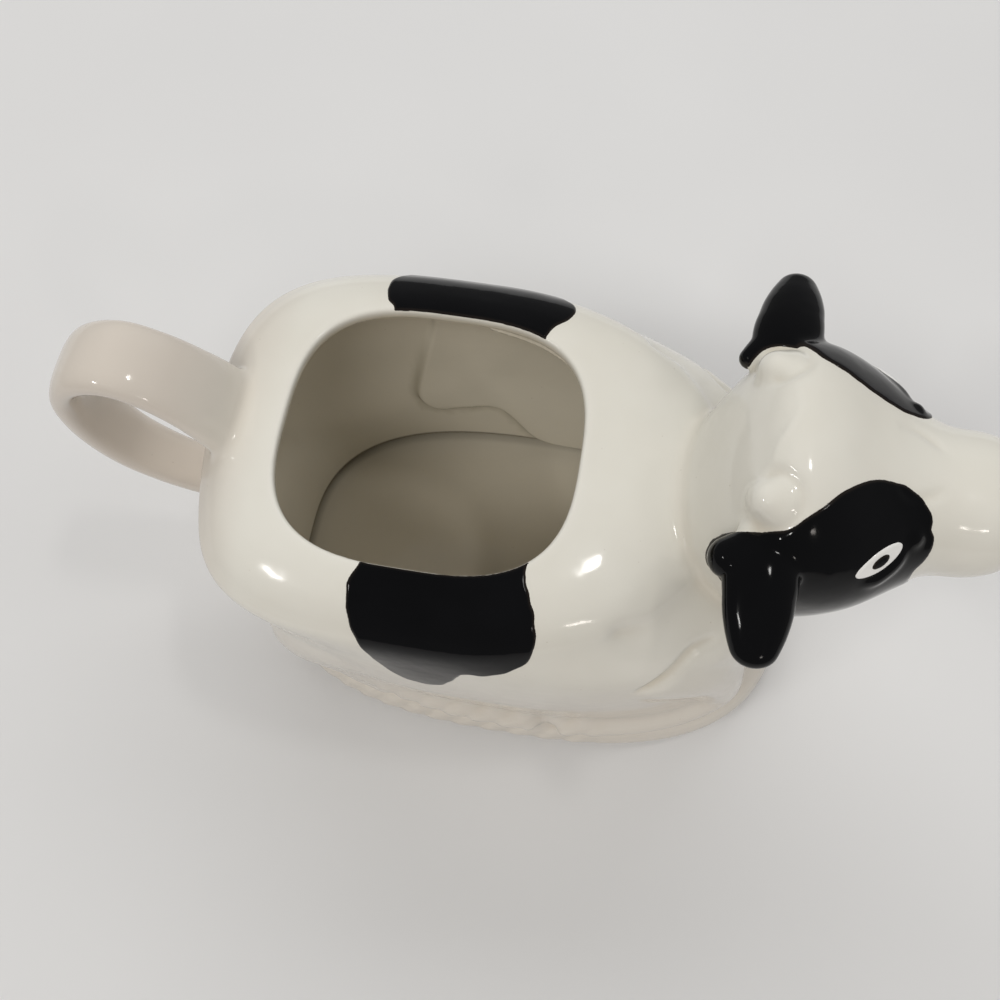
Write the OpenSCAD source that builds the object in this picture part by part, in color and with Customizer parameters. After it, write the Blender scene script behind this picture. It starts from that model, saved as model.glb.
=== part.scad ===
// Cow creamer: a slip-cast, glazed milk jug in the shape of a cow lying on a tuft of grass.
// The back is open for filling, the hollow head is the spout, and a strap at the rump is the handle.
// Millimetres. X runs to the head, Z is up, and the origin is the middle of the foot ring on the table.

/* [Body] */
// Height of the edge of the back opening
rim_h = 72; // [62:1:84]
// Length of the back opening
opening_l = 55.4; // [46:0.2:60]
// Width of the back opening
opening_w = 51.8; // [42:0.2:60]
// Distance of the opening's middle behind the middle of the base
opening_back = 19.2; // [15:0.2:23]
// Width of the barrel
body_w = 80; // [76:0.2:92]
// Height at which the barrel is widest
widest_h = 46; // [40:1:50]
// Height of the shoulder, where the flank turns over to the back
shoulder_h = 63.5; // [58:0.5:66]
// Distance of the shoulder inside the barrel's side
shoulder_in = 1; // [0.5:0.5:3]
// Reach of the rump behind the middle of the base
rump_reach = 65.5; // [62:0.5:70]
// Reach of the chest in front of the middle of the base
chest_reach = 54; // [50:0.5:58]
// Reach of the shoulder ring in front of the middle of the base, under the head
neck_reach = 39; // [36:0.5:42]
// Thickness of the cast wall
wall = 3.4; // [2.6:0.1:4.2]
// Thickness of the floor
floor_t = 4; // [3:0.1:6]

/* [Base] */
// Length of the grass base
base_l = 120; // [116:1:126]
// Distance of the side of the grass base inside the barrel's side
base_in = 0.5; // [0:0.5:2]
// Height of the top of the grass
base_h = 12; // [9:0.5:15]
// Height of the unglazed foot ring
foot_h = 2; // [1.5:0.1:3]
// Width of the foot ring's standing face
foot_w = 6; // [4:0.5:9]
// Distance of the foot ring inside the edge of the base
foot_inset = 3; // [2:0.5:5]
// Width of the ledge of grass in front of the body and behind it
ledge_end = 4; // [3:0.5:7]
// Width of the ledge of grass beside the body
ledge_side = 3.5; // [2.5:0.5:6]
// How far a blade of grass stands out of the side of the base
blade_out = 0.9; // [0.4:0.1:1.4]

/* [Head] */
// Distance from the middle of the base to the back of the head
head_back = 25; // [22:0.5:27]
// Reach of the muzzle in front of the middle of the base
muzzle_reach = 85.5; // [80:0.5:92]
// Height of the lowest part of the head, inside the chest
jaw_h = 47; // [44:0.5:50]
// Height of the top of the head
poll_h = 97; // [90:0.5:104]
// Width across the cheeks
head_w = 48.4; // [44:0.2:54]
// Length of the muzzle
muzzle_l = 17.5; // [14:0.5:20]
// Diameter of the pouring hole in the mouth
mouth_d = 9; // [7:0.5:11]

/* [Ears and horns] */
// Distance of an ear's tip from the middle of the head
ear_reach = 36.8; // [33:0.2:40]
// Width of an ear
ear_w = 13; // [10:0.5:15]
// Thickness of an ear
ear_t = 6.6; // [5:0.2:8]
// Distance of an ear's middle from the middle of the base
ear_x = 39.4; // [38:0.2:44]
// Drop of an ear's tip
ear_drop = 3; // [1:0.5:6]
// Diameter of a horn bud
horn_d = 8; // [6:0.2:9]
// Height of a horn bud above its seat
horn_l = 3.2; // [2.4:0.2:6]
// Depth of the flat seat that a horn bud stands in
horn_seat = 1.4; // [1:0.1:2]
// Clearance round a horn bud in its seat
horn_gap_in_seat = 0.05; // [0.03:0.01:0.1]
// Distance between the middles of the horn buds
horn_gap = 23; // [20:0.5:27]
// Distance of the horn buds from the middle of the base
horn_x = 40; // [38:0.5:42]
// Lean of a horn bud away from the middle of the head
horn_lean = 24; // [15:1:35]
// Length of the forelock across the head
forelock_l = 13; // [9:0.5:16]
// Width of the forelock
forelock_w = 2.6; // [2:0.2:5]

/* [Handle] */
// Reach of the handle behind the middle of the base
handle_reach = 91.2; // [86:0.5:98]
// Height of the top of the handle
handle_top = 87; // [83:0.5:92]
// Thickness of the handle strap
handle_t = 5.5; // [4.5:0.1:6.5]
// Width of the strap at its upper end
handle_w = 18; // [14:0.5:22]
// Width of the strap at its lower end
handle_low_w = 10.6; // [9:0.2:14]
// Height of the strap's lower end
handle_low = 35; // [30:0.5:40]

/* [Legs and tail] */
// Thickness of a folded leg
leg_d = 12; // [10:0.5:14]
// Thickness of the tail
tail_d = 6; // [4.5:0.5:7]

/* [Glaze] */
// Thickness of a black glaze patch
patch_t = 0.5; // [0.4:0.05:0.8]
// Thickness of the white of an eye
eye_t = 0.5; // [0.4:0.05:0.8]
// Length of an eye
eye_l = 10.4; // [8:0.2:12]
// Height of an eye
eye_w = 5.2; // [4:0.2:6]
// Diameter of a pupil
pupil_d = 2.8; // [2:0.1:3.4]

/* [Hidden] */

// The left side of the cow is +Y, and its right side is -Y.
LEFT = 1;
RIGHT = -1;

GLAZE_CREAM = [0.93, 0.91, 0.86];
GLAZE_BLACK = [0.05, 0.05, 0.06];
EYE_WHITE = [0.96, 0.96, 0.94];
BARE_CLAY = [0.85, 0.80, 0.72];

// Facets: sides of each kind of ring or ellipsoid, and rings from one row of a table to the next
body_sides = 40;
head_sides = 24;
limb_sides = 10;
blot_sides = 10;
strap_sides = 16;
lock_sides = 8;
bore_sides = 12;
round_sides = 64;
seat_sides = 32;
almond_sides = 16;
pupil_sides = 24;
body_fine = 2;
head_fine = 2;
handle_fine = 2;

// The base's width and the body's foot follow the barrel and the ledge.
base_w = body_w - 2 * base_in;
belly_l = base_l - 2 * ledge_end;
belly_w = base_w - 2 * ledge_side;
shoulder_w = body_w - 2 * shoulder_in;

// The four named rings of the body, each [rear, front, half width, rear exponent, front exponent, height]
base_exponent = 2.65;
rim_exponent = 3.0;
rump_exponent = 2.55;
chest_exponent = 2.35;
rump_top_exponent = 3.4;
neck_exponent = 2.1;
belly_row = [-belly_l / 2, belly_l / 2, belly_w / 2, base_exponent, base_exponent, foot_h];
wide_row = [-rump_reach, chest_reach, body_w / 2, rump_exponent, chest_exponent, widest_h];
shoulder_row = [-rump_reach + wall / 2, neck_reach, shoulder_w / 2,
                rump_top_exponent, neck_exponent, shoulder_h];
rim_row = [-opening_back - opening_l / 2, -opening_back + opening_l / 2, opening_w / 2,
           rim_exponent, rim_exponent, rim_h];

// How far each ring has come, in height and in outline, from the belly to the barrel
flank_shares = [[0, 0], [0.20, 0.06], [0.45, 0.38], [0.74, 0.86], [1, 1]];
// The same from the barrel up to the shoulder, and from the shoulder over the back to the rim
upper_flank_shares = [[0.52, 0.22], [1, 1]];
back_shares = [[0.38, 0.14], [0.66, 0.34], [0.86, 0.60], [0.96, 0.81], [1, 1]];

function mix(a, b, share) = a + (b - a) * share;

// A row between two named rings: its outline takes one share and its height another.
function body_row(from, to, s) =
    [for (k = [0 : len(from) - 1]) mix(from[k], to[k], k == len(from) - 1 ? s[0] : s[1])];

body_rows = concat([for (s = flank_shares) body_row(belly_row, wide_row, s)],
                   [for (s = upper_flank_shares) body_row(wide_row, shoulder_row, s)],
                   [for (s = back_shares) body_row(shoulder_row, rim_row, s)]);

// A smooth curve through the rows of a table, at row number t
function spline_at(rows, t) =
    let (last = len(rows) - 1,
         i = min(floor(t), last - 1),
         u = t - i,
         p0 = rows[max(i - 1, 0)],
         p1 = rows[i],
         p2 = rows[i + 1],
         p3 = rows[min(i + 2, last)])
    p1 + (p2 - p0) * u / 2 + (2 * p0 - 5 * p1 + 4 * p2 - p3) * u * u / 2
       + (3 * p1 - p0 - 3 * p2 + p3) * u * u * u / 2;

function fine_rows(rows, steps) =
    [for (i = [0 : (len(rows) - 1) * steps]) spline_at(rows, i / steps)];

// A signed power, which draws a rounded square: 2 gives an ellipse, and more is squarer.
function swell(v, exponent) = sign(v) * pow(abs(v), 2 / exponent);

function body_ring(r) =
    [for (j = [0 : body_sides - 1])
        let (a = 360 * j / body_sides,
             n = cos(a) < 0 ? r[3] : r[4],
             half = (r[1] - r[0]) / 2)
        [r[0] + half + half * swell(cos(a), n), r[2] * swell(sin(a), n), r[5]]];

body_grid = [for (r = fine_rows(body_rows, body_fine)) body_ring(r)];

// The surface's outward direction at a point of a grid of rings
function unit(v) = v / norm(v);
function facing(grid, i, j) =
    let (n = len(grid[i]),
         round_it = grid[i][(j + 1) % n] - grid[i][(j + n - 1) % n],
         along_it = grid[min(i + 1, len(grid) - 1)][j] - grid[max(i - 1, 0)][j])
    unit(cross(round_it, along_it));

function grown(grid, d) =
    [for (i = [0 : len(grid) - 1]) [for (j = [0 : len(grid[i]) - 1]) grid[i][j] + d * facing(grid, i, j)]];

function middle(ring) = [for (k = [0 : 2]) [for (p = ring) p[k]] * [for (p = ring) 1] / len(ring)];
function shrunk(ring, share, z) = let (m = middle(ring)) [for (p = ring) [mix(m[0], p[0], share), mix(m[1], p[1], share), z]];

// A closed solid over a grid of rings, with a fan over each end
module skin(grid) {
    n = len(grid[0]);
    m = len(grid);
    points = concat([for (ring = grid) each ring], [middle(grid[0]), middle(grid[m - 1])]);
    sides = [for (i = [0 : m - 2]) for (j = [0 : n - 1])
        let (a = i * n + j, b = i * n + (j + 1) % n) each [[a, a + n, b + n], [a, b + n, b]]];
    first_end = [for (j = [0 : n - 1]) [m * n, j, (j + 1) % n]];
    last_end = [for (j = [0 : n - 1]) [m * n + 1, (m - 1) * n + (j + 1) % n, (m - 1) * n + j]];
    polyhedron(points = points, faces = concat(sides, first_end, last_end), convexity = 6);
}

// A limb: ellipsoids at the rows [x, y, z, rx, ry, rz], each hulled with the next
module limb(rows, sides = limb_sides) {
    for (i = [0 : len(rows) - 2]) {
        hull() {
            ellipsoid(rows[i], sides);
            ellipsoid(rows[i + 1], sides);
        }
    }
}

module ellipsoid(row, sides) {
    translate([row[0], row[1], row[2]]) scale([row[3], row[4], row[5]]) sphere(r = 1, $fn = sides);
}

// The outside of the body, grown by d
module body_solid(d = 0) {
    skin(d == 0 ? body_grid : grown(body_grid, d));
}

// The floor's edge lies a little inside the wall, so the corner is rounded.
floor_z = foot_h + floor_t;
floor_edge_share = 0.97;
inner_grid = grown(body_grid, -wall);
lowest_inner = [for (i = [0 : len(body_grid) - 1]) if (body_grid[i][0][2] > floor_z + wall / 2) i][0];
inner_step = 2;
inside_up = [for (i = [len(inner_grid) - 1 : -inner_step : lowest_inner]) inner_grid[i]];
vessel_grid = concat(body_grid, inside_up, [shrunk(inside_up[len(inside_up) - 1], floor_edge_share, floor_z)]);

// The milk's way out: the head is hollow like the body, and a channel narrows from it to the hole in the mouth.
head_l = muzzle_reach - head_back;
head_tall = poll_h - jaw_h;
mouth_up_share = 0.58;
mouth_h = mix(jaw_h, poll_h, mouth_up_share);
channel_shares = [[0.66, 1], [0.72, 0.96], [0.78, 0.86], [0.83, 0.66], [0.87, 0.34], [0.91, 0.08], [0.95, 0],
                  [0.985, 0.10], [1.03, 0.42]];
muzzle_share = 0.52;
channel_start_r = head_w / 2 * muzzle_share - wall;
channel_rows = [for (s = channel_shares)
    let (r = mix(mouth_d / 2, channel_start_r, s[1]))
    [head_back + head_l * s[0], 0, mouth_h, r, r, r]];

module milk_passage() {
    skin(head_hollow);
    limb(channel_rows, bore_sides);
}

module body_shell() {
    color(GLAZE_CREAM) difference() {
        skin(vessel_grid);
        milk_passage();
    }
}

// The base is a hoop round the body. Its outside rises in rings [height, outline, share of a blade's relief],
// and every second point of the two rippled rings stands out, so the blades of grass lean back as they rise.
grass_shares = [[0, 0.975, 0], [0.12, 0.99, 0], [0.30, 1, 1], [0.52, 0.99, 1], [0.70, 0.975, 0],
                [0.94, 0.925, 0]];
blades_reach_share = 0.75;

// The inside of the hoop: the body's own rings up to the top of the grass, with a point halfway along each side
function halved(ring) =
    [for (j = [0 : len(ring) - 1]) each [ring[j], (ring[j] + ring[(j + 1) % len(ring)]) / 2]];
rings_below = [for (ring = body_grid) if (ring[0][2] < base_h) ring];
ring_above = body_grid[len(rings_below)];
last_below = rings_below[len(rings_below) - 1];
top_share = (base_h - last_below[0][2]) / (ring_above[0][2] - last_below[0][2]);
top_ring = [for (j = [0 : body_sides - 1]) mix(last_below[j], ring_above[j], top_share)];
inner_top = halved(top_ring);

// Each point of the outside lies straight out from the inside's point, in the direction c, d.
function grass_point(c, d, s, out) =
    let (u = abs(c) / (base_l / 2 * s[1]),
         v = abs(d) / (base_w / 2 * s[1]),
         r = pow(pow(u, base_exponent) + pow(v, base_exponent), -1 / base_exponent) + out * s[2])
    [r * c, r * d, mix(foot_h, base_h, s[0])];

// A blade's turn comes one point further back on each higher ring, on both sides of the cow.
function blade_at(c, d, i, j) =
    let (turn = d > 0 ? j + i : j - i + 1)
    abs(c) < blades_reach_share && turn % 2 == 0 ? blade_out : 0;

grass_grid = [for (i = [0 : len(grass_shares) - 1])
    [for (j = [0 : len(inner_top) - 1])
        let (far = norm([inner_top[j][0], inner_top[j][1]]),
             c = inner_top[j][0] / far,
             d = inner_top[j][1] / far)
        grass_point(c, d, grass_shares[i], blade_at(c, d, i, j))]];
hoop_grid = concat(grass_grid, [inner_top],
                   [for (i = [len(rings_below) - 1 : -1 : 0]) halved(rings_below[i])]);

// A closed solid over a grid of rings whose last ring joins the first. The diagonals follow the blades.
module hoop(grid) {
    n = len(grid[0]);
    m = len(grid);
    points = [for (ring = grid) each ring];
    faces = [for (i = [0 : m - 1]) for (j = [0 : n - 1])
        let (k = (j + 1) % n, up = (i + 1) % m,
             a = i * n + j, b = i * n + k, c = up * n + k, d = up * n + j)
        each (j < n / 2 ? [[a, d, c], [c, b, a]] : [[a, d, b], [d, c, b]])];
    polyhedron(points = points, faces = faces, convexity = 6);
}

// The outside of the base as a full block, which the legs and the tail rest on
module base_solid() {
    skin(concat(grass_grid, [inner_top]));
}

module grass_base() {
    color(GLAZE_CREAM) hoop(hoop_grid);
}

// The unglazed foot ring is a true prism, flat on the table.
module base_outline(inset) {
    polygon([for (j = [0 : round_sides - 1])
        let (a = 360 * j / round_sides)
        [(base_l / 2 - inset) * swell(cos(a), base_exponent),
         (base_w / 2 - inset) * swell(sin(a), base_exponent)]]);
}

module foot_ring() {
    color(BARE_CLAY) linear_extrude(foot_h) difference() {
        base_outline(foot_inset);
        base_outline(foot_inset + foot_w);
    }
}

// The head: rows of [along, middle height, up, down, half width, exponent], as shares of its sizes
head_shares = [[0, 0.24, 0.12, 0.14, 0.34, 2.1], [0.065, 0.30, 0.22, 0.24, 0.52, 2.1],
               [0.13, 0.42, 0.33, 0.38, 0.68, 2.2], [0.20, 0.54, 0.37, 0.52, 0.83, 2.3],
               [0.27, 0.62, 0.38, 0.62, 0.93, 2.4], [0.39, 0.64, 0.34, 0.57, 0.98, 2.2],
               [0.52, 0.63, 0.27, 0.45, 0.90, 2.1], [0.65, 0.60, 0.235, 0.32, 0.69, 2.1],
               [0.748, 0.586, 0.225, 0.256, 0.54, 2.3], [0.846, 0.586, 0.225, 0.226, 0.535, 2.4],
               [0.925, 0.59, 0.195, 0.20, 0.49, 2.4], [0.97, 0.594, 0.15, 0.158, 0.39, 2.3],
               [0.995, 0.60, 0.075, 0.08, 0.20, 2.2]];
head_rows = [for (s = head_shares)
    [head_back + head_l * s[0], jaw_h + head_tall * s[1], head_tall * s[2], head_tall * s[3],
     head_w / 2 * s[4], s[5]]];

function head_ring(r) =
    [for (j = [0 : head_sides - 1])
        let (a = 360 * j / head_sides)
        [r[0], r[4] * swell(cos(a), r[5]), r[1] + (sin(a) > 0 ? r[2] : r[3]) * swell(sin(a), r[5])]];

head_grid = [for (r = fine_rows(head_rows, head_fine)) head_ring(r)];

// The head's hollow keeps one wall inside it, from behind the horn buds to the muzzle.
hollow_first = 5;
hollow_last = 16;
inner_head = grown(head_grid, -wall);
head_hollow = [for (i = [hollow_first : hollow_last]) inner_head[i]];

module head_solid(d = 0) {
    skin(d == 0 ? head_grid : grown(head_grid, d));
}

// Everything in front of the muzzle's plane
muzzle_x = muzzle_reach - muzzle_l;
module ahead_of_muzzle_plane() {
    translate([muzzle_x, -head_w, jaw_h]) cube([muzzle_l * 2, head_w * 2, head_tall * 2]);
}

module head_shell() {
    color(GLAZE_CREAM) difference() {
        head_solid();
        body_solid();
        milk_passage();
        ahead_of_muzzle_plane();
        horn_seat_cut(LEFT);
        horn_seat_cut(RIGHT);
    }
}

module muzzle() {
    color(GLAZE_CREAM) difference() {
        intersection() {
            head_solid();
            ahead_of_muzzle_plane();
        }
        milk_passage();
    }
}

// A horn bud is a true revolve, standing in a flat seat cut square to its own axis.
horn_h_share = 0.945;
horn_h = mix(jaw_h, poll_h, horn_h_share);
module at_horn(side) {
    translate([horn_x, side * horn_gap / 2, horn_h]) rotate([-side * horn_lean, 0, 0]) children();
}

module horn_seat_cut(side) {
    at_horn(side) translate([0, 0, -horn_seat])
        cylinder(d = horn_d + 2 * horn_gap_in_seat, h = horn_seat + horn_l, $fn = seat_sides);
}

module horn(side) {
    color(GLAZE_CREAM) at_horn(side) translate([0, 0, -horn_seat]) difference() {
        union() {
            cylinder(d = horn_d, h = horn_seat + horn_l - horn_d / 2, $fn = round_sides);
            translate([0, 0, horn_seat + horn_l - horn_d / 2]) sphere(d = horn_d, $fn = round_sides);
        }
        translate([0, 0, -horn_d]) cylinder(d = horn_d * 2, h = horn_d, $fn = round_sides);
    }
}

// The forelock lies across the top of the head, between the horn buds.
forelock_shares = [-0.5, -0.38, -0.25, -0.12, 0, 0.12, 0.25, 0.38, 0.5];
forelock_wave_share = 0.35;
forelock_taper_share = 2;
forelock_rows = [for (s = forelock_shares)
    let (r = forelock_w / 2 * (1 - forelock_taper_share * s * s))
    [horn_x + forelock_w * forelock_wave_share * sin(360 * s), forelock_l * s,
     poll_h - r * s * s - r / 2, r, r, r]];

module forelock() {
    color(GLAZE_CREAM) difference() {
        limb(forelock_rows, lock_sides);
        head_solid();
    }
}

// An ear: rows of [out, drop, width, thickness] as shares, from inside the head to its tip
ear_root_share = 0.66;
ear_root_y = head_w / 2 * ear_root_share;
ear_up_share = 0.8;
ear_h = mix(jaw_h, poll_h, ear_up_share);
ear_lean_share = 0.13;
ear_shares = [[0, 0, 0.66, 0.80], [0.15, 0.02, 0.82, 0.92], [0.30, 0.08, 0.95, 1], [0.44, 0.18, 1, 1],
              [0.57, 0.32, 0.99, 0.96], [0.69, 0.48, 0.95, 0.90], [0.80, 0.65, 0.88, 0.84],
              [0.90, 0.82, 0.79, 0.76], [1, 1, 0.66, 0.66]];
ear_tip_share = 0.5;
function ear_rows(side) = [for (s = ear_shares)
    let (tip_r = ear_w / 2 * ear_tip_share, rx = ear_w / 2 * s[2], rz = ear_t / 2 * s[3])
    [ear_x + ear_w * ear_lean_share * s[0], side * mix(ear_root_y, ear_reach - tip_r, s[0]), ear_h - ear_drop * s[1],
     rx, tip_r, rz]];

module ear(side) {
    color(GLAZE_BLACK) difference() {
        limb(ear_rows(side));
        head_solid(patch_t);
    }
}

// The handle: rows of [out, up, width] as shares of the strap's loop, from the rump's top round to its foot
handle_in_share = 0.845;
handle_in = rump_reach * handle_in_share;
handle_shares = [[0, 0.56, 1], [0.10, 0.71, 0.95], [0.235, 0.84, 0.76], [0.42, 0.952, 0.63], [0.62, 1, 0.58],
                 [0.83, 0.945, 0.55], [0.96, 0.813, 0.50], [1, 0.64, 0.42], [0.975, 0.457, 0.32],
                 [0.878, 0.28, 0.20], [0.70, 0.145, 0.10], [0.47, 0.055, 0.04], [0.16, 0, 0]];
handle_out = handle_reach - handle_t / 2;
handle_up = handle_top - handle_t / 2;
handle_rows = [for (s = handle_shares)
    [-mix(handle_in, handle_out, s[0]), mix(handle_low, handle_up, s[1]), mix(handle_low_w, handle_w, s[2])]];
handle_path = fine_rows(handle_rows, handle_fine);
strap_exponent = 3.4;

// A section of the strap at row i, square to the path
function strap_ring(i) =
    let (here = handle_path[i],
         step = handle_path[min(i + 1, len(handle_path) - 1)] - handle_path[max(i - 1, 0)],
         along = [step[0], step[1]] / norm([step[0], step[1]]))
    [for (j = [0 : strap_sides - 1])
        let (a = 360 * (j + 0.5) / strap_sides,
             across = here[2] / 2 * swell(cos(a), strap_exponent),
             out = handle_t / 2 * swell(sin(a), strap_exponent))
        [here[0] - out * along[1], across, here[1] + out * along[0]]];

strap_grid = [for (i = [0 : len(handle_path) - 1]) strap_ring(i)];

module handle() {
    color(GLAZE_CREAM) difference() {
        skin(strap_grid);
        body_solid();
        limb(relief_rows(tail_shares, RIGHT, tail_d));
    }
}

// Half the body's width at a place along it and a height, so that what lies on the flank follows it
row_keys = fine_rows(body_rows, body_fine);
function key(z, k) = lookup(z, [for (r = row_keys) [r[5], r[k]]]);
function flank_y(x, z) =
    let (rear = key(z, 0),
         front = key(z, 1),
         half = (front - rear) / 2,
         u = min(abs(x - rear - half) / half, 1),
         n = x < rear + half ? key(z, 3) : key(z, 4))
    key(z, 2) * pow(1 - pow(u, n), 1 / n);

// A folded leg: rows of [along, up, thickness, inset] as shares of the base, the rim's height and the leg
fore_leg_shares = [[0.47, 0.66, 1.30, 0.46], [0.58, 0.56, 1.35, 0.44], [0.66, 0.45, 1.25, 0.40],
                   [0.72, 0.34, 1.05, 0.34], [0.73, 0.25, 0.95, 0.30], [0.64, 0.205, 0.82, 0.28],
                   [0.50, 0.195, 0.74, 0.26], [0.36, 0.19, 0.70, 0.24], [0.24, 0.185, 0.74, 0.22]];
hind_leg_shares = [[-0.56, 0.56, 1.8, 0.46], [-0.60, 0.49, 2.1, 0.44], [-0.60, 0.42, 2.1, 0.43],
                   [-0.56, 0.35, 1.9, 0.42], [-0.49, 0.29, 1.5, 0.40], [-0.40, 0.245, 1.1, 0.36],
                   [-0.30, 0.215, 0.9, 0.31], [-0.18, 0.20, 0.76, 0.26], [-0.04, 0.19, 0.70, 0.24],
                   [0.08, 0.185, 0.74, 0.22]];
tail_shares = [[-1.10, 0.60, 0.9, 0.30], [-1.08, 0.52, 0.9, 0.28], [-1.02, 0.43, 0.9, 0.26],
               [-0.93, 0.35, 0.9, 0.24], [-0.83, 0.29, 0.95, 0.22], [-0.73, 0.25, 1.15, 0.18],
               [-0.63, 0.225, 1.35, 0.16], [-0.53, 0.215, 1.2, 0.16], [-0.44, 0.215, 0.7, 0.14]];

function relief_rows(shares, side, thick) = [for (s = shares)
    let (x = base_l / 2 * s[0], z = rim_h * s[1], r = thick / 2 * s[2])
    [x, side * (flank_y(x, z) - thick * s[3]), z, r, thick / 2, r]];

module leg(shares, side) {
    color(GLAZE_CREAM) difference() {
        limb(relief_rows(shares, side, leg_d));
        body_solid();
        base_solid();
    }
}

module fore_leg(side) {
    leg(fore_leg_shares, side);
}

module hind_leg(side) {
    leg(hind_leg_shares, side);
}

module tail() {
    color(GLAZE_CREAM) difference() {
        limb(relief_rows(tail_shares, RIGHT, tail_d));
        body_solid();
        base_solid();
        limb(relief_rows(hind_leg_shares, RIGHT, leg_d));
    }
}

// A glaze patch is a thin layer over the surface, bounded by blots: [x, y, z, rx, ry, rz] as shares.
function blot_rows(shares, side) = [for (s = shares)
    [base_l / 2 * s[0], side * body_w / 2 * s[1], rim_h * s[2], base_l / 2 * s[3], body_w / 2 * s[4], rim_h * s[5]]];

right_flank_shares = [[-0.33, 0.80, 0.93, 0.15, 0.34, 0.17], [-0.30, 0.82, 0.92, 0.17, 0.37, 0.18],
                      [-0.26, 0.84, 0.91, 0.19, 0.39, 0.19], [-0.21, 0.85, 0.91, 0.20, 0.40, 0.19],
                      [-0.16, 0.85, 0.92, 0.20, 0.40, 0.18], [-0.12, 0.85, 0.93, 0.19, 0.39, 0.17],
                      [-0.09, 0.84, 0.94, 0.18, 0.38, 0.16], [-0.07, 0.82, 0.94, 0.16, 0.37, 0.15],
                      [-0.05, 0.80, 0.94, 0.14, 0.35, 0.14]];
left_flank_shares = [[-0.43, 0.80, 0.93, 0.15, 0.34, 0.17], [-0.39, 0.82, 0.92, 0.17, 0.37, 0.18],
                     [-0.34, 0.84, 0.91, 0.19, 0.39, 0.19], [-0.28, 0.85, 0.91, 0.20, 0.40, 0.19],
                     [-0.22, 0.85, 0.92, 0.20, 0.40, 0.18], [-0.17, 0.85, 0.93, 0.19, 0.39, 0.17],
                     [-0.13, 0.84, 0.94, 0.18, 0.38, 0.16], [-0.10, 0.82, 0.94, 0.16, 0.37, 0.15],
                     [-0.08, 0.80, 0.94, 0.14, 0.35, 0.14]];

module flank_patch(shares, side) {
    color(GLAZE_BLACK) difference() {
        intersection() {
            body_solid(patch_t);
            limb(blot_rows(shares, side), blot_sides);
        }
        body_solid();
        above_rim();
    }
}

module above_rim() {
    translate([-base_l, -base_w, rim_h]) cube([base_l * 2, base_w * 2, rim_h]);
}

// Blots on the face: [along the head, out, up, r along, r out, r up] as shares of the head's sizes
function face_blots(shares, side) = [for (s = shares)
    [head_back + head_l * s[0], side * head_w / 2 * s[1], jaw_h + head_tall * s[2],
     head_l * s[3], head_w / 2 * s[4], head_tall * s[5]]];

right_face_shares = [[0.145, 0.96, 0.77, 0.13, 0.38, 0.20], [0.22, 0.96, 0.75, 0.15, 0.39, 0.21],
                     [0.31, 0.92, 0.71, 0.14, 0.42, 0.24], [0.37, 0.86, 0.69, 0.15, 0.46, 0.27],
                     [0.42, 0.80, 0.68, 0.17, 0.52, 0.30], [0.47, 0.74, 0.67, 0.19, 0.58, 0.32],
                     [0.50, 0.70, 0.67, 0.19, 0.61, 0.33], [0.52, 0.67, 0.67, 0.18, 0.60, 0.32],
                     [0.54, 0.64, 0.66, 0.16, 0.56, 0.30]];
left_face_shares = [[0.17, 1.03, 0.74, 0.14, 0.36, 0.19], [0.24, 1.05, 0.72, 0.15, 0.37, 0.20],
                    [0.31, 1.02, 0.68, 0.14, 0.40, 0.22], [0.37, 0.96, 0.66, 0.15, 0.43, 0.25],
                    [0.42, 0.90, 0.65, 0.17, 0.49, 0.28], [0.47, 0.84, 0.64, 0.19, 0.54, 0.30],
                    [0.50, 0.80, 0.64, 0.19, 0.57, 0.31], [0.52, 0.77, 0.64, 0.18, 0.56, 0.30],
                    [0.54, 0.74, 0.63, 0.16, 0.53, 0.28]];

module face_patch(shares, side) {
    color(GLAZE_BLACK) difference() {
        intersection() {
            head_solid(patch_t);
            limb(face_blots(shares, side), blot_sides);
        }
        head_solid();
        body_solid();
        horn_seat_cut(side);
        ahead_of_muzzle_plane();
    }
}

// An eye lies on its face patch: an almond drawn along a line that rises to the muzzle.
eye_along_share = 0.54;
eye_out_share = 0.69;
eye_up_share = 0.78;
eye_tilt = 12;
eye_turn = 34;
eye_roll = 28;
eye_cut = head_w / 4;
almond_shares = [-0.5, -0.42, -0.31, -0.17, 0, 0.17, 0.31, 0.42, 0.5];
almond_full_share = 1.06;
almond_taper_share = 3.4;

module at_eye(side) {
    translate([head_back + head_l * eye_along_share, side * head_w / 2 * eye_out_share,
               jaw_h + head_tall * eye_up_share])
        rotate([0, 0, -side * eye_turn])
            rotate([side * eye_roll, 0, 0])
                rotate([-side * 90, 0, 0])
                    rotate([0, 0, side * eye_tilt])
                        children();
}

module almond(side) {
    at_eye(side) for (i = [0 : len(almond_shares) - 2]) {
        hull() {
            for (s = [almond_shares[i], almond_shares[i + 1]])
                translate([eye_l * s, 0, -eye_cut])
                    cylinder(d = eye_w * (almond_full_share - almond_taper_share * s * s), h = eye_cut * 2, $fn = almond_sides);
        }
    }
}

module eye_layer(side) {
    difference() {
        intersection() {
            head_solid(patch_t + eye_t);
            almond(side);
        }
        head_solid(patch_t);
    }
}

module pupil_prism(side) {
    at_eye(side) translate([0, 0, -eye_cut]) cylinder(d = pupil_d, h = eye_cut * 2, $fn = pupil_sides);
}

module eye(side) {
    color(EYE_WHITE) difference() {
        eye_layer(side);
        pupil_prism(side);
    }
}

module pupil(side) {
    color(GLAZE_BLACK) intersection() {
        eye_layer(side);
        pupil_prism(side);
    }
}

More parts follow.
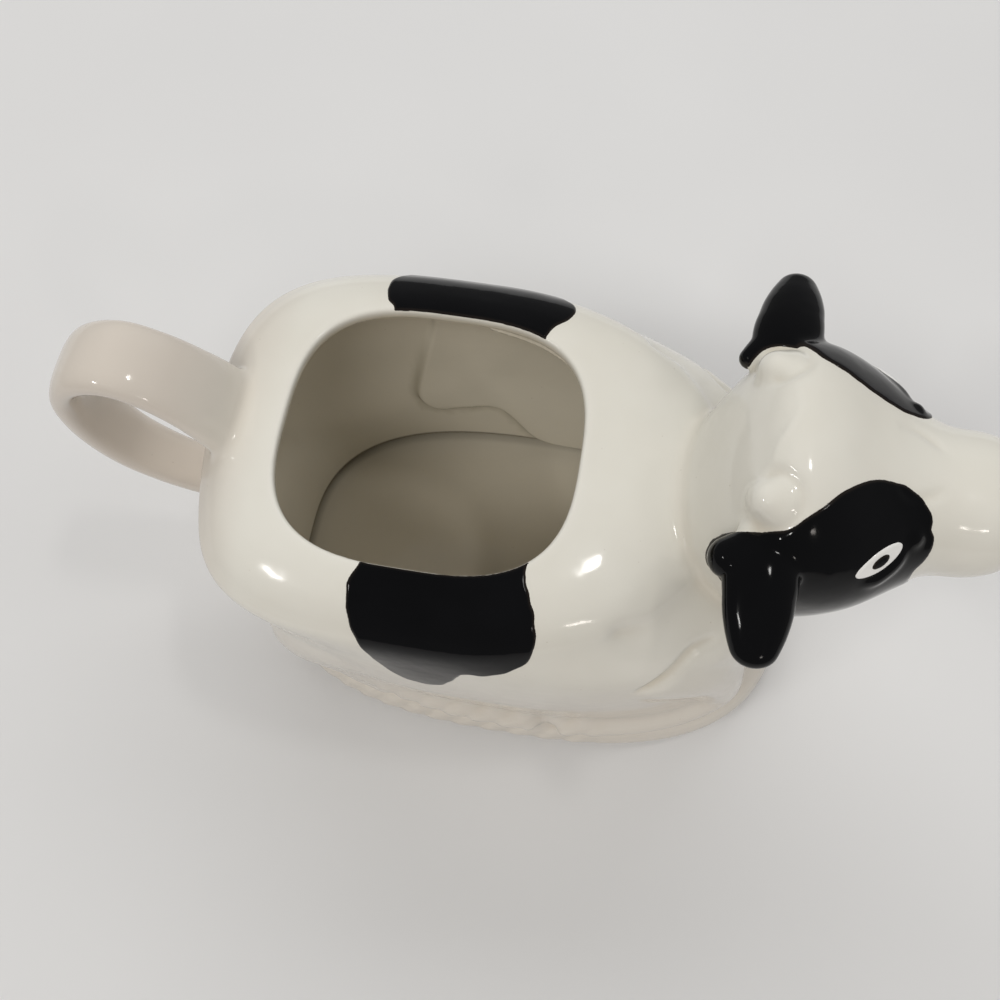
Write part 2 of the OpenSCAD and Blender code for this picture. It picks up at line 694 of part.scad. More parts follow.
foot_ring();
grass_base();
body_shell();
head_shell();
muzzle();
forelock();
horn(LEFT);  // horn_left
horn(RIGHT);  // horn_right
ear(LEFT);  // ear_left
ear(RIGHT);  // ear_right
handle();
tail();
fore_leg(LEFT);  // fore_leg_left
fore_leg(RIGHT);  // fore_leg_right
hind_leg(LEFT);  // hind_leg_left
hind_leg(RIGHT);  // hind_leg_right
flank_patch(left_flank_shares, LEFT);  // flank_patch_left
flank_patch(right_flank_shares, RIGHT);  // flank_patch_right
face_patch(left_face_shares, LEFT);  // face_patch_left
face_patch(right_face_shares, RIGHT);  // face_patch_right
eye(LEFT);  // eye_left
eye(RIGHT);  // eye_right
pupil(LEFT);  // pupil_left
pupil(RIGHT);  // pupil_right
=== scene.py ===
import math
import bpy
import numpy as np
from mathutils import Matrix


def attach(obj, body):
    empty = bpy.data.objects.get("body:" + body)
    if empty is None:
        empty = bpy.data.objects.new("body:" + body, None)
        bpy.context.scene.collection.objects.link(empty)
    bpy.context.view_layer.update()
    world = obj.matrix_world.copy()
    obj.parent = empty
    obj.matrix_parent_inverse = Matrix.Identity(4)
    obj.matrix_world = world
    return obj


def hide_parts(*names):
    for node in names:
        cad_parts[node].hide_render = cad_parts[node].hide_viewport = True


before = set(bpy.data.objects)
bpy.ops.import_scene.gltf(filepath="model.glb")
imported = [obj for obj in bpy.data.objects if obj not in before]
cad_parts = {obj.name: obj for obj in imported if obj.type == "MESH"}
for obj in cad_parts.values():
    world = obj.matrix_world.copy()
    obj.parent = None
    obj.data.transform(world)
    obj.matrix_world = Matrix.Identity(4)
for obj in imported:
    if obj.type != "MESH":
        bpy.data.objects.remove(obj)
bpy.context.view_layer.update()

import openvdb as vdb
from mathutils import Matrix

# Everything is worked out in millimetres in the CAD frame and turned to metres when a mesh is made.
# The glazed casting is one signed distance field: the forms are lofted as in part.scad, blended with the soft
# fillets that slip and glaze leave, hollowed by one wall, and meshed.
MM = 0.001
CELL = 0.5
LOW = np.array([-94.0, -44.0, -1.0])
HIGH = np.array([88.0, 44.0, 101.0])
START = np.floor(LOW / CELL).astype(int)
COUNT = np.ceil((HIGH - LOW) / CELL).astype(int) + 1
AXIS = [((START[k] + np.arange(COUNT[k])) * CELL).astype(np.float32) for k in range(3)]
GX = AXIS[0][:, None, None]
GY = AXIS[1][None, :, None]
GZ = AXIS[2][None, None, :]
BAND = 7.0
# The near side in the photograph is the cow's right
NEAR, FAR = -1, 1

# ---- the photograph's view ---------------------------------------------------------------------------------

PICTURE = 1000
FOCAL_PX = 1040
AZIMUTH, ELEVATION, ROLL = (math.radians(v) for v in (11.0, 67.5, -1.5))
TARGET = np.array([-4.5, -10.6, 72.0])
DISTANCE = 186.0


def view_axes():
    """The picture's right and up, and the way back to the camera, as unit vectors."""
    back = np.array([math.sin(AZIMUTH) * math.cos(ELEVATION), -math.cos(AZIMUTH) * math.cos(ELEVATION),
                     math.sin(ELEVATION)])
    level = np.cross(-back, [0, 0, 1.0])
    level /= np.linalg.norm(level)
    rise = np.cross(level, -back)
    c, s = math.cos(ROLL), math.sin(ROLL)
    return np.array([c * level + s * rise, c * rise - s * level, back])


VIEW = view_axes()
VIEW_FROM = TARGET + VIEW[2] * DISTANCE


# ---- small helpers -------------------------------------------------------------------------------------

def spline(rows, steps):
    """Catmull-Rom through the rows of a table, ends included."""
    rows = np.asarray(rows, float)
    last = len(rows) - 1
    out = []
    for i in range(last * steps + 1):
        t = i / steps
        k = min(int(t), last - 1)
        u = t - k
        a, b, c, d = rows[max(k - 1, 0)], rows[k], rows[k + 1], rows[min(k + 2, last)]
        out.append(b + (c - a) * u / 2 + (2 * a - 5 * b + 4 * c - d) * u * u / 2
                   + (3 * b - a - 3 * c + d) * u ** 3 / 2)
    return np.array(out)


def loop(points, steps):
    """A closed Catmull-Rom curve through the points."""
    p = np.asarray(points, float)
    n = len(p)
    out = []
    for k in range(n):
        a, b, c, d = p[k - 1], p[k], p[(k + 1) % n], p[(k + 2) % n]
        for j in range(steps):
            u = j / steps
            out.append(b + (c - a) * u / 2 + (2 * a - 5 * b + 4 * c - d) * u * u / 2
                       + (3 * b - a - 3 * c + d) * u ** 3 / 2)
    return np.array(out)


def swell(v, n):
    """A cosine or sine made rounder or squarer, as in a superellipse."""
    return np.sign(v) * np.abs(v) ** (2 / n)


def mix(a, b, s):
    return a + (b - a) * s


def skin(rings):
    """A closed mesh over a grid of rings (rows, sides, 3), with a fan over each end."""
    m, n = rings.shape[:2]
    points = np.concatenate([rings.reshape(-1, 3), rings[:1].mean(1), rings[-1:].mean(1)])
    i, j = np.meshgrid(np.arange(m - 1), np.arange(n), indexing="ij")
    a = (i * n + j).ravel()
    b = (i * n + (j + 1) % n).ravel()
    faces = [np.stack([a, a + n, b + n], 1), np.stack([a, b + n, b], 1)]
    k = np.arange(n)
    first = np.full(n, m * n)
    faces.append(np.stack([first, k, (k + 1) % n], 1))
    top = (m - 1) * n
    faces.append(np.stack([first + 1, top + (k + 1) % n, top + k], 1))
    return points, np.concatenate(faces)


def field(points, faces, band=BAND):
    """The signed distance to a closed mesh on the whole grid."""
    grid = vdb.FloatGrid.createLevelSetFromPolygons(
        points.astype(np.float32), triangles=faces.astype(np.uint32),
        transform=vdb.createLinearTransform(voxelSize=CELL), halfWidth=band / CELL)
    out = np.empty(tuple(COUNT), np.float32)
    grid.copyToArray(out, ijk=tuple(int(v) for v in START))
    return out


def smin(a, b, k):
    """The union of two fields with a fillet of about this radius."""
    h = np.clip(0.5 + 0.5 * (b - a) / k, 0, 1).astype(np.float32)
    return b + (a - b) * h - k * h * (1 - h)


def smax(a, b, k):
    """What two fields share, with a rounded edge."""
    return -smin(-a, -b, k)


def block(low, high):
    """Slices of the grid between two corners."""
    s = []
    for k in range(3):
        lo = max(int(math.floor(low[k] / CELL)) - START[k], 0)
        hi = min(int(math.ceil(high[k] / CELL)) - START[k] + 1, COUNT[k])
        s.append(slice(lo, hi))
    return tuple(s)


def coords(s):
    return (AXIS[0][s[0]][:, None, None], AXIS[1][s[1]][None, :, None], AXIS[2][s[2]][None, None, :])


def chain(rows, far=4.0):
    """Ellipsoids [x, y, z, rx, ry, rz] in a close row: the block that holds them and their field in it."""
    rows = np.asarray(rows, float)
    low = (rows[:, :3] - rows[:, 3:6]).min(0) - far
    high = (rows[:, :3] + rows[:, 3:6]).max(0) + far
    s = block(low, high)
    shape = tuple(x.stop - x.start for x in s)
    out = np.full(shape, far, np.float32)
    for r in rows:
        b = block(r[:3] - r[3:6] - far, r[:3] + r[3:6] + far)
        x, y, z = coords(b)
        p = [(x - r[0]), (y - r[1]), (z - r[2])]
        k0 = np.sqrt(sum((p[k] / r[3 + k]) ** 2 for k in range(3)))
        k1 = np.sqrt(sum((p[k] / r[3 + k] ** 2) ** 2 for k in range(3))) + 1e-6
        d = (k0 * (k0 - 1) / k1).astype(np.float32)
        v = tuple(slice(b[k].start - s[k].start, b[k].stop - s[k].start) for k in range(3))
        out[v] = np.minimum(out[v], d)
    return s, out


def add(D, part, k):
    s, f = part
    D[s] = smin(D[s], f, k)


def cut(D, part, k):
    s, f = part
    D[s] = smax(D[s], -f, k)


def polygon_distance(px, py, poly):
    """Signed distance to a closed polygon, negative inside."""
    best = np.full(px.shape, 1e9)
    inside = np.zeros(px.shape, bool)
    n = len(poly)
    for i in range(n):
        ax, ay = poly[i]
        bx, by = poly[(i + 1) % n]
        ex, ey = bx - ax, by - ay
        t = np.clip(((px - ax) * ex + (py - ay) * ey) / (ex * ex + ey * ey + 1e-12), 0, 1)
        best = np.minimum(best, (px - ax - t * ex) ** 2 + (py - ay - t * ey) ** 2)
        if ay != by:
            inside ^= ((ay > py) != (by > py)) & (px < ex * (py - ay) / (by - ay) + ax)
    d = np.sqrt(best)
    return np.where(inside, -d, d)


def sample(A, p):
    """Trilinear value of a field at points in millimetres."""
    q = p / CELL - START
    i = np.clip(np.floor(q).astype(int), 0, COUNT - 2)
    f = q - i
    out = 0
    for dx in (0, 1):
        for dy in (0, 1):
            for dz in (0, 1):
                w = (np.where(dx, f[:, 0], 1 - f[:, 0]) * np.where(dy, f[:, 1], 1 - f[:, 1])
                     * np.where(dz, f[:, 2], 1 - f[:, 2]))
                out = out + w * A[i[:, 0] + dx, i[:, 1] + dy, i[:, 2] + dz]
    return out


def slope(A, p, step):
    """The unit direction in which a field rises, at points in millimetres."""
    g = [sample(A, p + step * np.eye(3)[k]) - sample(A, p - step * np.eye(3)[k]) for k in range(3)]
    g = np.stack(g, 1)
    return g / (np.linalg.norm(g, axis=1, keepdims=True) + 1e-9)


# ---- the forms, from the same tables as part.scad ----------------------------------------------------------

SIDES = 240
STRAP_SIDES = 96
FINE = 12
ANGLE = 2 * math.pi * np.arange(SIDES) / SIDES


def body_ring(r):
    c, s = np.cos(ANGLE), np.sin(ANGLE)
    n = np.where(c < 0, r[3], r[4])
    half = (r[1] - r[0]) / 2
    return np.stack([r[0] + half + half * swell(c, n), r[2] * swell(s, n), np.full(SIDES, r[5])], 1)


# Rows of the body: back, front, half width, roundness behind and in front, height
BELLY = [-56.0, 56.0, 36.0, 2.65, 2.65, 2.0]
WIDE = [-65.5, 54.0, 40.0, 2.55, 2.35, 46.0]
SHOULDER = [-63.8, 39.0, 39.0, 3.4, 2.1, 63.5]
RIM_ROW = [-46.9, 8.5, 25.9, 3.0, 3.0, 72.0]


def between(a, b, s):
    return [mix(a[k], b[k], s[0] if k == 5 else s[1]) for k in range(6)]


BODY_ROWS = ([between(BELLY, WIDE, s) for s in ((0, 0), (0.20, 0.06), (0.45, 0.38), (0.74, 0.86), (1, 1))]
             + [between(WIDE, SHOULDER, s) for s in ((0.52, 0.22), (1, 1))]
             + [between(SHOULDER, RIM_ROW, s)
                for s in ((0.38, 0.14), (0.66, 0.34), (0.86, 0.60), (0.96, 0.81), (1, 1))])
body_fine = spline(BODY_ROWS, FINE)


def flank_y(x, z):
    """Half the body's width at a place along it and a height."""
    k = [np.interp(z, body_fine[:, 5], body_fine[:, c]) for c in range(5)]
    half = (k[1] - k[0]) / 2
    u = min(abs(x - k[0] - half) / half, 1)
    n = k[3] if x < k[0] + half else k[4]
    return k[2] * (1 - u ** n) ** (1 / n)


# Rows of the base: height, share of its length and width
GRASS = spline([[2, 0.975], [3.2, 0.99], [5.0, 1], [7.2, 0.99], [9, 0.975], [11.4, 0.925], [12, 0.86]], 6)
BASE_HALF_L, BASE_HALF_W, BASE_N = 60.0, 39.5, 2.65


def base_y(x, share):
    return BASE_HALF_W * share * (1 - min(abs(x) / (BASE_HALF_L * share), 1) ** BASE_N) ** (1 / BASE_N)


def base_ring(r):
    c, s = np.cos(ANGLE), np.sin(ANGLE)
    d = (np.abs(c / (BASE_HALF_L * r[1])) ** BASE_N + np.abs(s / (BASE_HALF_W * r[1])) ** BASE_N) ** (-1 / BASE_N)
    return np.stack([d * c, d * s, np.full(SIDES, r[0])], 1)


# Rows of the head: place along it, middle height, reach up, reach down, half width, roundness
HEAD_SHARES = [[0, .24, .12, .14, .34, 2.1], [.065, .30, .22, .24, .52, 2.1], [.13, .42, .35, .38, .68, 2.2],
               [.20, .54, .385, .52, .83, 2.3], [.27, .62, .38, .62, .93, 2.4], [.39, .64, .34, .57, .98, 2.2],
               [.52, .63, .27, .45, .90, 2.1], [.65, .60, .235, .32, .69, 2.1], [.748, .586, .225, .256, .54, 2.3],
               [.846, .586, .225, .226, .535, 2.4], [.925, .59, .195, .20, .49, 2.4],
               [.97, .594, .15, .158, .39, 2.3], [.995, .60, .075, .08, .20, 2.2]]
HEAD_X, HEAD_L, JAW, HEAD_TALL, HEAD_HALF = 25.0, 60.5, 47.0, 50.0, 24.2


def head_ring(r):
    c, s = np.cos(ANGLE), np.sin(ANGLE)
    x = HEAD_X + HEAD_L * r[0]
    z = JAW + HEAD_TALL * (r[1] + np.where(s > 0, r[2], r[3]) * swell(s, r[5]))
    return np.stack([np.full(SIDES, x), HEAD_HALF * r[4] * swell(c, r[5]), z], 1)


# The handle's middle line, from its top root to its foot: reach back, height, width
HANDLE_SHARES = [[0, .56, 1], [.10, .71, .95], [.235, .84, .76], [.42, .952, .63], [.62, 1, .58], [.83, .945, .55],
                 [.96, .813, .50], [1, .64, .42], [.975, .457, .32], [.878, .28, .20], [.70, .145, .10],
                 [.47, .055, .04], [.16, 0, 0]]
HANDLE_T = 5.5
HANDLE_REACH, HANDLE_HEIGHT, HANDLE_WIDTH = (55.35, 88.45), (35.0, 84.25), (10.6, 18.0)


def handle_rings():
    rows = np.array([[-mix(*HANDLE_REACH, s[0]), mix(*HANDLE_HEIGHT, s[1]), mix(*HANDLE_WIDTH, s[2])]
                     for s in HANDLE_SHARES])
    path = spline(rows, FINE)
    a = 2 * math.pi * (np.arange(STRAP_SIDES) + 0.5) / STRAP_SIDES
    out = []
    for i in range(len(path)):
        d = path[min(i + 1, len(path) - 1)] - path[max(i - 1, 0)]
        d = d[:2] / np.linalg.norm(d[:2])
        across = path[i, 2] / 2 * swell(np.cos(a), 3.0)
        off = HANDLE_T / 2 * swell(np.sin(a), 2.6)
        out.append(np.stack([path[i, 0] - off * d[1], across, path[i, 1] + off * d[0]], 1))
    return np.array(out)


# An ear: rows of [out, drop, width, thickness]. It was pressed on by hand, so the left one leans further forward
# and tapers more, and the heel of each root runs back along the head.
EAR_SHARES = [[0, 0, .66, .80], [.15, .02, .80, .92], [.30, .08, .89, 1], [.44, .18, .90, 1], [.57, .32, .86, .96],
              [.69, .48, .83, .90], [.80, .65, .77, .84], [.90, .82, .69, .76], [1, 1, .58, .66]]
EAR_OUT = (15.97, 33.55)
EAR_Z, EAR_DROP = 87.0, 3.0
EAR_HALF_W, EAR_HALF_T = 6.5, 3.3
EAR_END_R = 3.25
# Root's x, lean, taper, then the heel's far end (behind the root, out from the middle, radius) and its near end
EARS = {NEAR: (39.4, 0.5, 0.0, (5.0, 20.2, 3.2), (1.5, 18.3)),
        FAR: (40.2, 2.4, 0.04, (5.2, 17.0, 1.7), (1.2, 20.5))}
HEEL_Z, HEEL_R, HEEL_T = (86.0, 86.6), 3.4, 3.0


def ear_chain(side):
    x, lean, taper, (back, out, tip), (near_back, near_out) = EARS[side]
    rows = [[x + lean * s[0], side * mix(*EAR_OUT, s[0]), EAR_Z - EAR_DROP * s[1],
             EAR_HALF_W * (s[2] - taper * s[0] ** 2), EAR_END_R, EAR_HALF_T * s[3]] for s in EAR_SHARES]
    heel = [[mix(x - back, x - near_back, t), side * mix(out, near_out, t), mix(*HEEL_Z, t),
             mix(tip, HEEL_R, t), mix(tip, HEEL_R, t), mix(tip, HEEL_T, t)] for t in np.linspace(0, 1, 7)]
    return chain(np.concatenate([spline(rows, 6), heel]))


# Limbs and tail, from the shoulder or rump to the hoof or tuft: place along half the base, height as a share
# of the rim's, radius and depth in the flank as shares of the limb's thickness
LIMB_THICK, TAIL_THICK = 12.0, 6.0
HALF_LENGTH, RIM_Z = 60.0, 72.0
FORE_LEG = [[.47, .66, 1.30, .46], [.58, .56, 1.35, .44], [.66, .45, 1.25, .40], [.72, .34, 1.05, .34],
            [.73, .25, .95, .30], [.64, .205, .82, .28], [.50, .195, .74, .26], [.36, .19, .70, .24],
            [.24, .185, .74, .22]]
HIND_LEG = [[-.56, .56, 1.8, .46], [-.60, .49, 2.1, .44], [-.60, .42, 2.1, .43], [-.56, .35, 1.9, .42],
            [-.49, .29, 1.5, .40], [-.40, .245, 1.1, .36], [-.30, .215, .9, .31], [-.18, .20, .76, .26],
            [-.04, .19, .70, .24], [.08, .185, .74, .22]]
TAIL = [[-1.10, .60, .9, .30], [-1.08, .52, .9, .28], [-1.02, .43, .9, .26], [-.93, .35, .9, .24],
        [-.83, .29, .95, .22], [-.73, .25, 1.15, .18], [-.63, .225, 1.35, .16], [-.53, .215, 1.2, .16],
        [-.44, .215, .7, .14]]


def relief(shares, side, thick):
    rows = []
    for s in spline(shares, 8):
        x, z, r = HALF_LENGTH * s[0], RIM_Z * s[1], thick / 2 * s[2]
        rows.append([x, side * (flank_y(x, z) - thick * s[3]), z, r, thick / 2, r])
    return chain(rows)


def on_flank(x, z, side, inset):
    return [x, side * (flank_y(x, z) - inset), z]


def line(points, radius, taper=0.3):
    """A fine round line through points, thinner at its ends, as close spheres."""
    p = spline(points, 10)
    t = np.linspace(-1, 1, len(p))
    r = radius * (1 - (1 - taper) * np.abs(t) ** 3)
    return chain(np.column_stack([p, r, r, r]), far=3.0)


# ---- one casting -------------------------------------------------------------------------------------------

def soften(A, passes):
    """A field averaged with its neighbours, so many times."""
    for _ in range(passes):
        for k in range(3):
            B = A.copy()
            lo = [slice(None)] * 3
            hi = [slice(None)] * 3
            mid = [slice(None)] * 3
            lo[k], mid[k], hi[k] = slice(0, -2), slice(1, -1), slice(2, None)
            B[tuple(mid)] = 0.25 * A[tuple(lo)] + 0.5 * A[tuple(mid)] + 0.25 * A[tuple(hi)]
            A = B
    return A


# Radii over which the glaze and slip round off each join
JOIN_HEAD, JOIN_LIMB, JOIN_BASE, JOIN_TAIL, JOIN_STRAP, JOIN_EAR, JOIN_HORN = 2.4, 2.2, 1.6, 1.2, 2.2, 1.6, 1.4
HEAD_SOFTNESS = 8.0
# The near corner of the rump was pressed a little flatter than the far one
RUMP_PRESSED, RUMP_AT, RUMP_SPREAD = 3.2, (-63, -20, 52), (12, 15, 16)

# The fold where the shoulder turns to the chest: place along, height, how far under the flank
SHOULDER_FOLD = [(25.9, 50, -0.35), (31.0, 54.8, -0.35), (34.2, 57.6, -0.35), (37.6, 57.6, -0.3)]
# Place and half sizes of the soft dent above the knee, the notch between the hooves and the corner of the eye
KNEE_DENT, HOOF_NOTCH = (24.9, 30.2, 66.0, 5.5, 2.2, 2.2), (9.4, 39.4, 14.5, 1.5, 2.2, 2.6)
EYE_CORNER = (63.6, 11.6, 85.2, 1.3, 1.3, 1.1)


def egg(row, side, far=4.0):
    return chain([[row[0], side * row[1], *row[2:]]], far)


body_form = field(*skin(np.array([body_ring(r) for r in body_fine])))
head_form = field(*skin(np.array([head_ring(r) for r in spline(HEAD_SHARES, FINE)])))
head_form = soften(head_form, round(HEAD_SOFTNESS / CELL ** 2))
pressed = sum(((G - at) / spread) ** 2 for G, at, spread in zip((GX, GY, GZ), RUMP_AT, RUMP_SPREAD))
body_form = body_form + (RUMP_PRESSED * np.exp(-pressed)).astype(np.float32)
del pressed
outer = smin(body_form, head_form, JOIN_HEAD)

for side in (NEAR, FAR):
    # folded legs and the haunch
    add(outer, relief(HIND_LEG, side, LIMB_THICK), JOIN_LIMB)
    add(outer, relief(FORE_LEG, side, LIMB_THICK), JOIN_LIMB)
    cut(outer, line([on_flank(x, z, side, inset) for x, z, inset in SHOULDER_FOLD], 1.1), 1.6)
    cut(outer, egg(KNEE_DENT, side), 2.5)
    cut(outer, egg(HOOF_NOTCH, side), 1.0)

base_form = field(*skin(np.array([base_ring(r) for r in GRASS])))
outer = smin(outer, base_form, JOIN_BASE)

# Blades of grass: soft overlapping ridges that lean forward as they rise, along the middle of each side
BLADE_PITCH, BLADE_DEPTH, BLADE_FIRST_X = 6.4, 0.3, -37.5
LEAN_UP, LEAN_IN = 0.45, 0.8


def ease(v, start, length):
    """Rises from 0 at start to 1 over a length; a negative length falls away backwards."""
    return np.clip((v - start) / length, 0, 1)


phase = (GX - BLADE_FIRST_X - LEAN_UP * (GZ - 3) + LEAN_IN * (np.abs(GY) - 40)) * (2 * math.pi / BLADE_PITCH)
band = ease(GZ, 2.6, 3.0) * ease(GZ, 21, -7.0) * ease(np.abs(GY), 26, 5) * ease(GX, -44, 5) * ease(GX, 24, -6)
outer -= (BLADE_DEPTH * band * (np.sin(phase) + 0.25 * np.sin(2 * phase + 0.6))).astype(np.float32)
del phase, band

# the tail lies over the rump and the near flank and ends in a tuft with strands
add(outer, relief(TAIL, NEAR, TAIL_THICK), JOIN_TAIL)
TUFT_X, TUFT_Z = -47.5, 16.4
for dz, length in ((1.9, 8.0), (0.0, 10.0), (-1.9, 8.5)):
    rows = [on_flank(TUFT_X + length * t, TUFT_Z + dz * (1 - 0.8 * t * t), NEAR, t - 2.35)
            for t in (0, 0.33, 0.66, 1)]
    cut(outer, line(rows, 0.55), 0.5)

# handle, ears, horn buds in their shallow grooves, and the forelock
HORN_LEAN = math.radians(24)
HORN_R, HORN_ROOT, GROOVE_R, GROOVE_DEEP = 3.4, -3.4, 4.7, 0.75
# Each horn's seat and how far its last ball stands out of it
HORNS = {NEAR: ((39.0, -12.6, 93.7), -2.8), FAR: ((39.0, 13.8, 93.3), -3.0)}
outer = smin(outer, field(*skin(handle_rings())), JOIN_STRAP)
for side in (NEAR, FAR):
    add(outer, ear_chain(side), JOIN_EAR)
    seat, stands = HORNS[side]
    axis = np.array([0, side * math.sin(HORN_LEAN), math.cos(HORN_LEAN)])
    along = np.array([1.0, 0, 0])
    across = np.cross(axis, along)
    groove = []
    for a in np.linspace(0, 2 * math.pi, 40, endpoint=False):
        p = seat + GROOVE_R * (math.cos(a) * along + math.sin(a) * across)
        g = sample(outer, p[None])[0]
        n = slope(outer, p[None], 0.6)[0]
        groove.append([*(p - n * (g - 0.25)), GROOVE_DEEP, GROOVE_DEEP, GROOVE_DEEP])
    cut(outer, chain(groove, far=3.0), 1.3)
    balls = [[*(seat + axis * h), HORN_R, HORN_R, HORN_R] for h in np.linspace(HORN_ROOT, stands, 8)]
    add(outer, chain(balls), JOIN_HORN)
FORELOCK = [(41.4, 6.3, 95.8), (41.9, 3.4, 96.3), (41.5, 1.1, 96.35), (40.3, -1.5, 96.0), (39.2, -3.4, 95.2),
            (38.8, -6.2, 94.2)]
add(outer, line(FORELOCK, 0.45), 0.8)

# the lower lid's fold, the corner of the eye, the crease over the nose and the mouth's line
LID = [(56.2, 19.8, 83.4), (58.1, 18.8, 82.8), (59.8, 17.3, 83.1), (61.3, 15.6, 83.8), (62.2, 14.0, 84.6)]
NOSE_CREASE = [(60.0, 5.8, 90.5), (62.4, 6.4, 89.4), (65.4, 5.4, 88.4), (68.0, 3.7, 88.0)]
MOUTH_LINE = [(69.5, 73.0), (73, 72.4), (77, 72.6), (81.5, 73.8)]


def mirrored(points, side):
    return [(x, side * y, z) for x, y, z in points]


for side in (NEAR, FAR):
    add(outer, line(mirrored(LID, side), 1.0), 0.8)
    add(outer, egg(EYE_CORNER, side, 3.0), 0.9)
    cut(outer, line(mirrored(NOSE_CREASE, side), 0.75), 1.0)
    rows = []
    for x, z in MOUTH_LINE:
        t = (x - HEAD_X) / HEAD_L
        w = np.interp(t, [r[0] for r in HEAD_SHARES], [r[4] for r in HEAD_SHARES]) * HEAD_HALF
        rows.append((x, side * w * 0.985, z))
    cut(outer, line(rows, 0.8), 0.8)

# the hollow: one wall inside the body with its relief, one floor, and the head's own hollow and milk channel
WALL = 3.4
FLOOR_Z = 6.0
FOOT_TOP = 2.0
legs = smin(body_form, base_form, 0.8)
for side in (NEAR, FAR):
    add(legs, relief(FORE_LEG, side, LIMB_THICK), 3.0)
hollow = smax(legs + WALL, (FLOOR_Z - GZ) + 0 * legs, 3.5)
del legs

# seen from inside, the flank above the folded hind leg and in front of the haunch stands in by a low ledge
LEDGE = [(-26, 60), (-27, 52), (-29.2, 41.2), (-31.6, 28.3), (-30.4, 23.6), (-26.8, 20.9), (-20.3, 21.8),
         (-13.2, 22.6), (-8.6, 18.3), (-5.2, 13.4), (-1.8, 10.8), (4.0, 9.4), (20, 9.0), (36, 14), (38, 40),
         (30, 62), (0, 68), (-20, 66)]
LEDGE_IN, LEDGE_STEP = 1.7, 1.3
lx, lz = np.meshgrid(AXIS[0].astype(float), AXIS[2].astype(float), indexing="ij")
ledge = polygon_distance(lx, lz, loop(LEDGE, 4))
ledge = np.clip(0.5 - ledge / LEDGE_STEP, 0, 1)
ledge = (ledge * ledge * (3 - 2 * ledge)).astype(np.float32)
fade = ease(np.abs(GY), 8, 14)
hollow = hollow + LEDGE_IN * ledge[:, None, :] * fade * fade * (3 - 2 * fade) * ease(GZ, 8, 2.5)

NECK_FROM, NECK_TO = 33.0, 61.5
neck = smax(head_form + WALL, GX - NECK_TO + 0 * head_form, 3.0)
neck = smax(neck, NECK_FROM - GX + 0 * head_form, 3.0)
hollow = smin(hollow, neck, 2.5)
del neck
# Rows of the channel: place along the head, share of the way from the hole's radius to the neck's
CHANNEL = [[.66, 1], [.72, .96], [.78, .86], [.83, .66], [.87, .34], [.91, .08], [.95, 0], [.985, .10],
           [1.03, .42]]
HOLE_R, CHANNEL_R, MOUTH_Z = 4.5, 9.18, 76.0
rows = []
for s in spline(CHANNEL, 6):
    r = mix(HOLE_R, CHANNEL_R, s[1])
    rows.append([HEAD_X + HEAD_L * s[0], 0, MOUTH_Z, r, r, r])
add(hollow, chain(rows), 1.5)

OPENING_X, OPENING_HALF_L, OPENING_HALF_W, OPENING_N = -19.2, 27.7, 25.9, 3.0


def rim_distance(x, y):
    """Distance from the rounded square of the back opening, negative inside."""
    u, v = np.abs(x - OPENING_X) / OPENING_HALF_L, np.abs(y) / OPENING_HALF_W
    r = (u ** OPENING_N + v ** OPENING_N) ** (1 / OPENING_N) + 1e-6
    gx = (u / r) ** (OPENING_N - 1) / OPENING_HALF_L
    gy = (v / r) ** (OPENING_N - 1) / OPENING_HALF_W
    return (r - 1) / (np.sqrt(gx * gx + gy * gy) + 1e-6)


mouth = np.maximum(rim_distance(GX, GY), 64.0 - GZ).astype(np.float32)
hollow = smin(hollow, mouth, 1.6)
del mouth
cast = smax(outer, -hollow, 0.6)
del hollow

# standing edge: the base is cut flat where the bare foot ring begins
cast = smax(cast, (FOOT_TOP - GZ) + 0 * cast, 0.6)
cast = soften(cast, 1)
wide = soften(cast, 8)


# ---- meshes ------------------------------------------------------------------------------------------------

def mesh_of(A):
    """The surface where a field is nought, as points and triangles."""
    grid = vdb.FloatGrid(10.0)
    grid.transform = vdb.createLinearTransform(voxelSize=CELL)
    grid.copyFromArray(A, ijk=tuple(int(v) for v in START), tolerance=0.0)
    points, triangles, quads = grid.convertToPolygons(isovalue=0.0, adaptivity=0.0)
    quads = np.asarray(quads, np.int64)
    faces = np.concatenate([quads[:, [0, 1, 2]], quads[:, [0, 2, 3]]])
    if len(triangles):
        faces = np.concatenate([faces, np.asarray(triangles, np.int64)])
    return np.asarray(points, float), faces


def biggest(points, faces):
    """Only the largest connected surface is kept, so no stray crumbs are left."""
    parent = np.arange(len(points))
    for _ in range(200):
        low = parent[faces].min(1)
        new = parent.copy()
        for c in range(3):
            np.minimum.at(new, faces[:, c], low)
        new = new[new]
        if (new == parent).all():
            break
        parent = new
    label = parent[faces[:, 0]]
    values, counts = np.unique(label, return_counts=True)
    keep = faces[label == values[counts.argmax()]]
    used, index = np.unique(keep, return_inverse=True)
    return points[used], index.reshape(-1, 3)


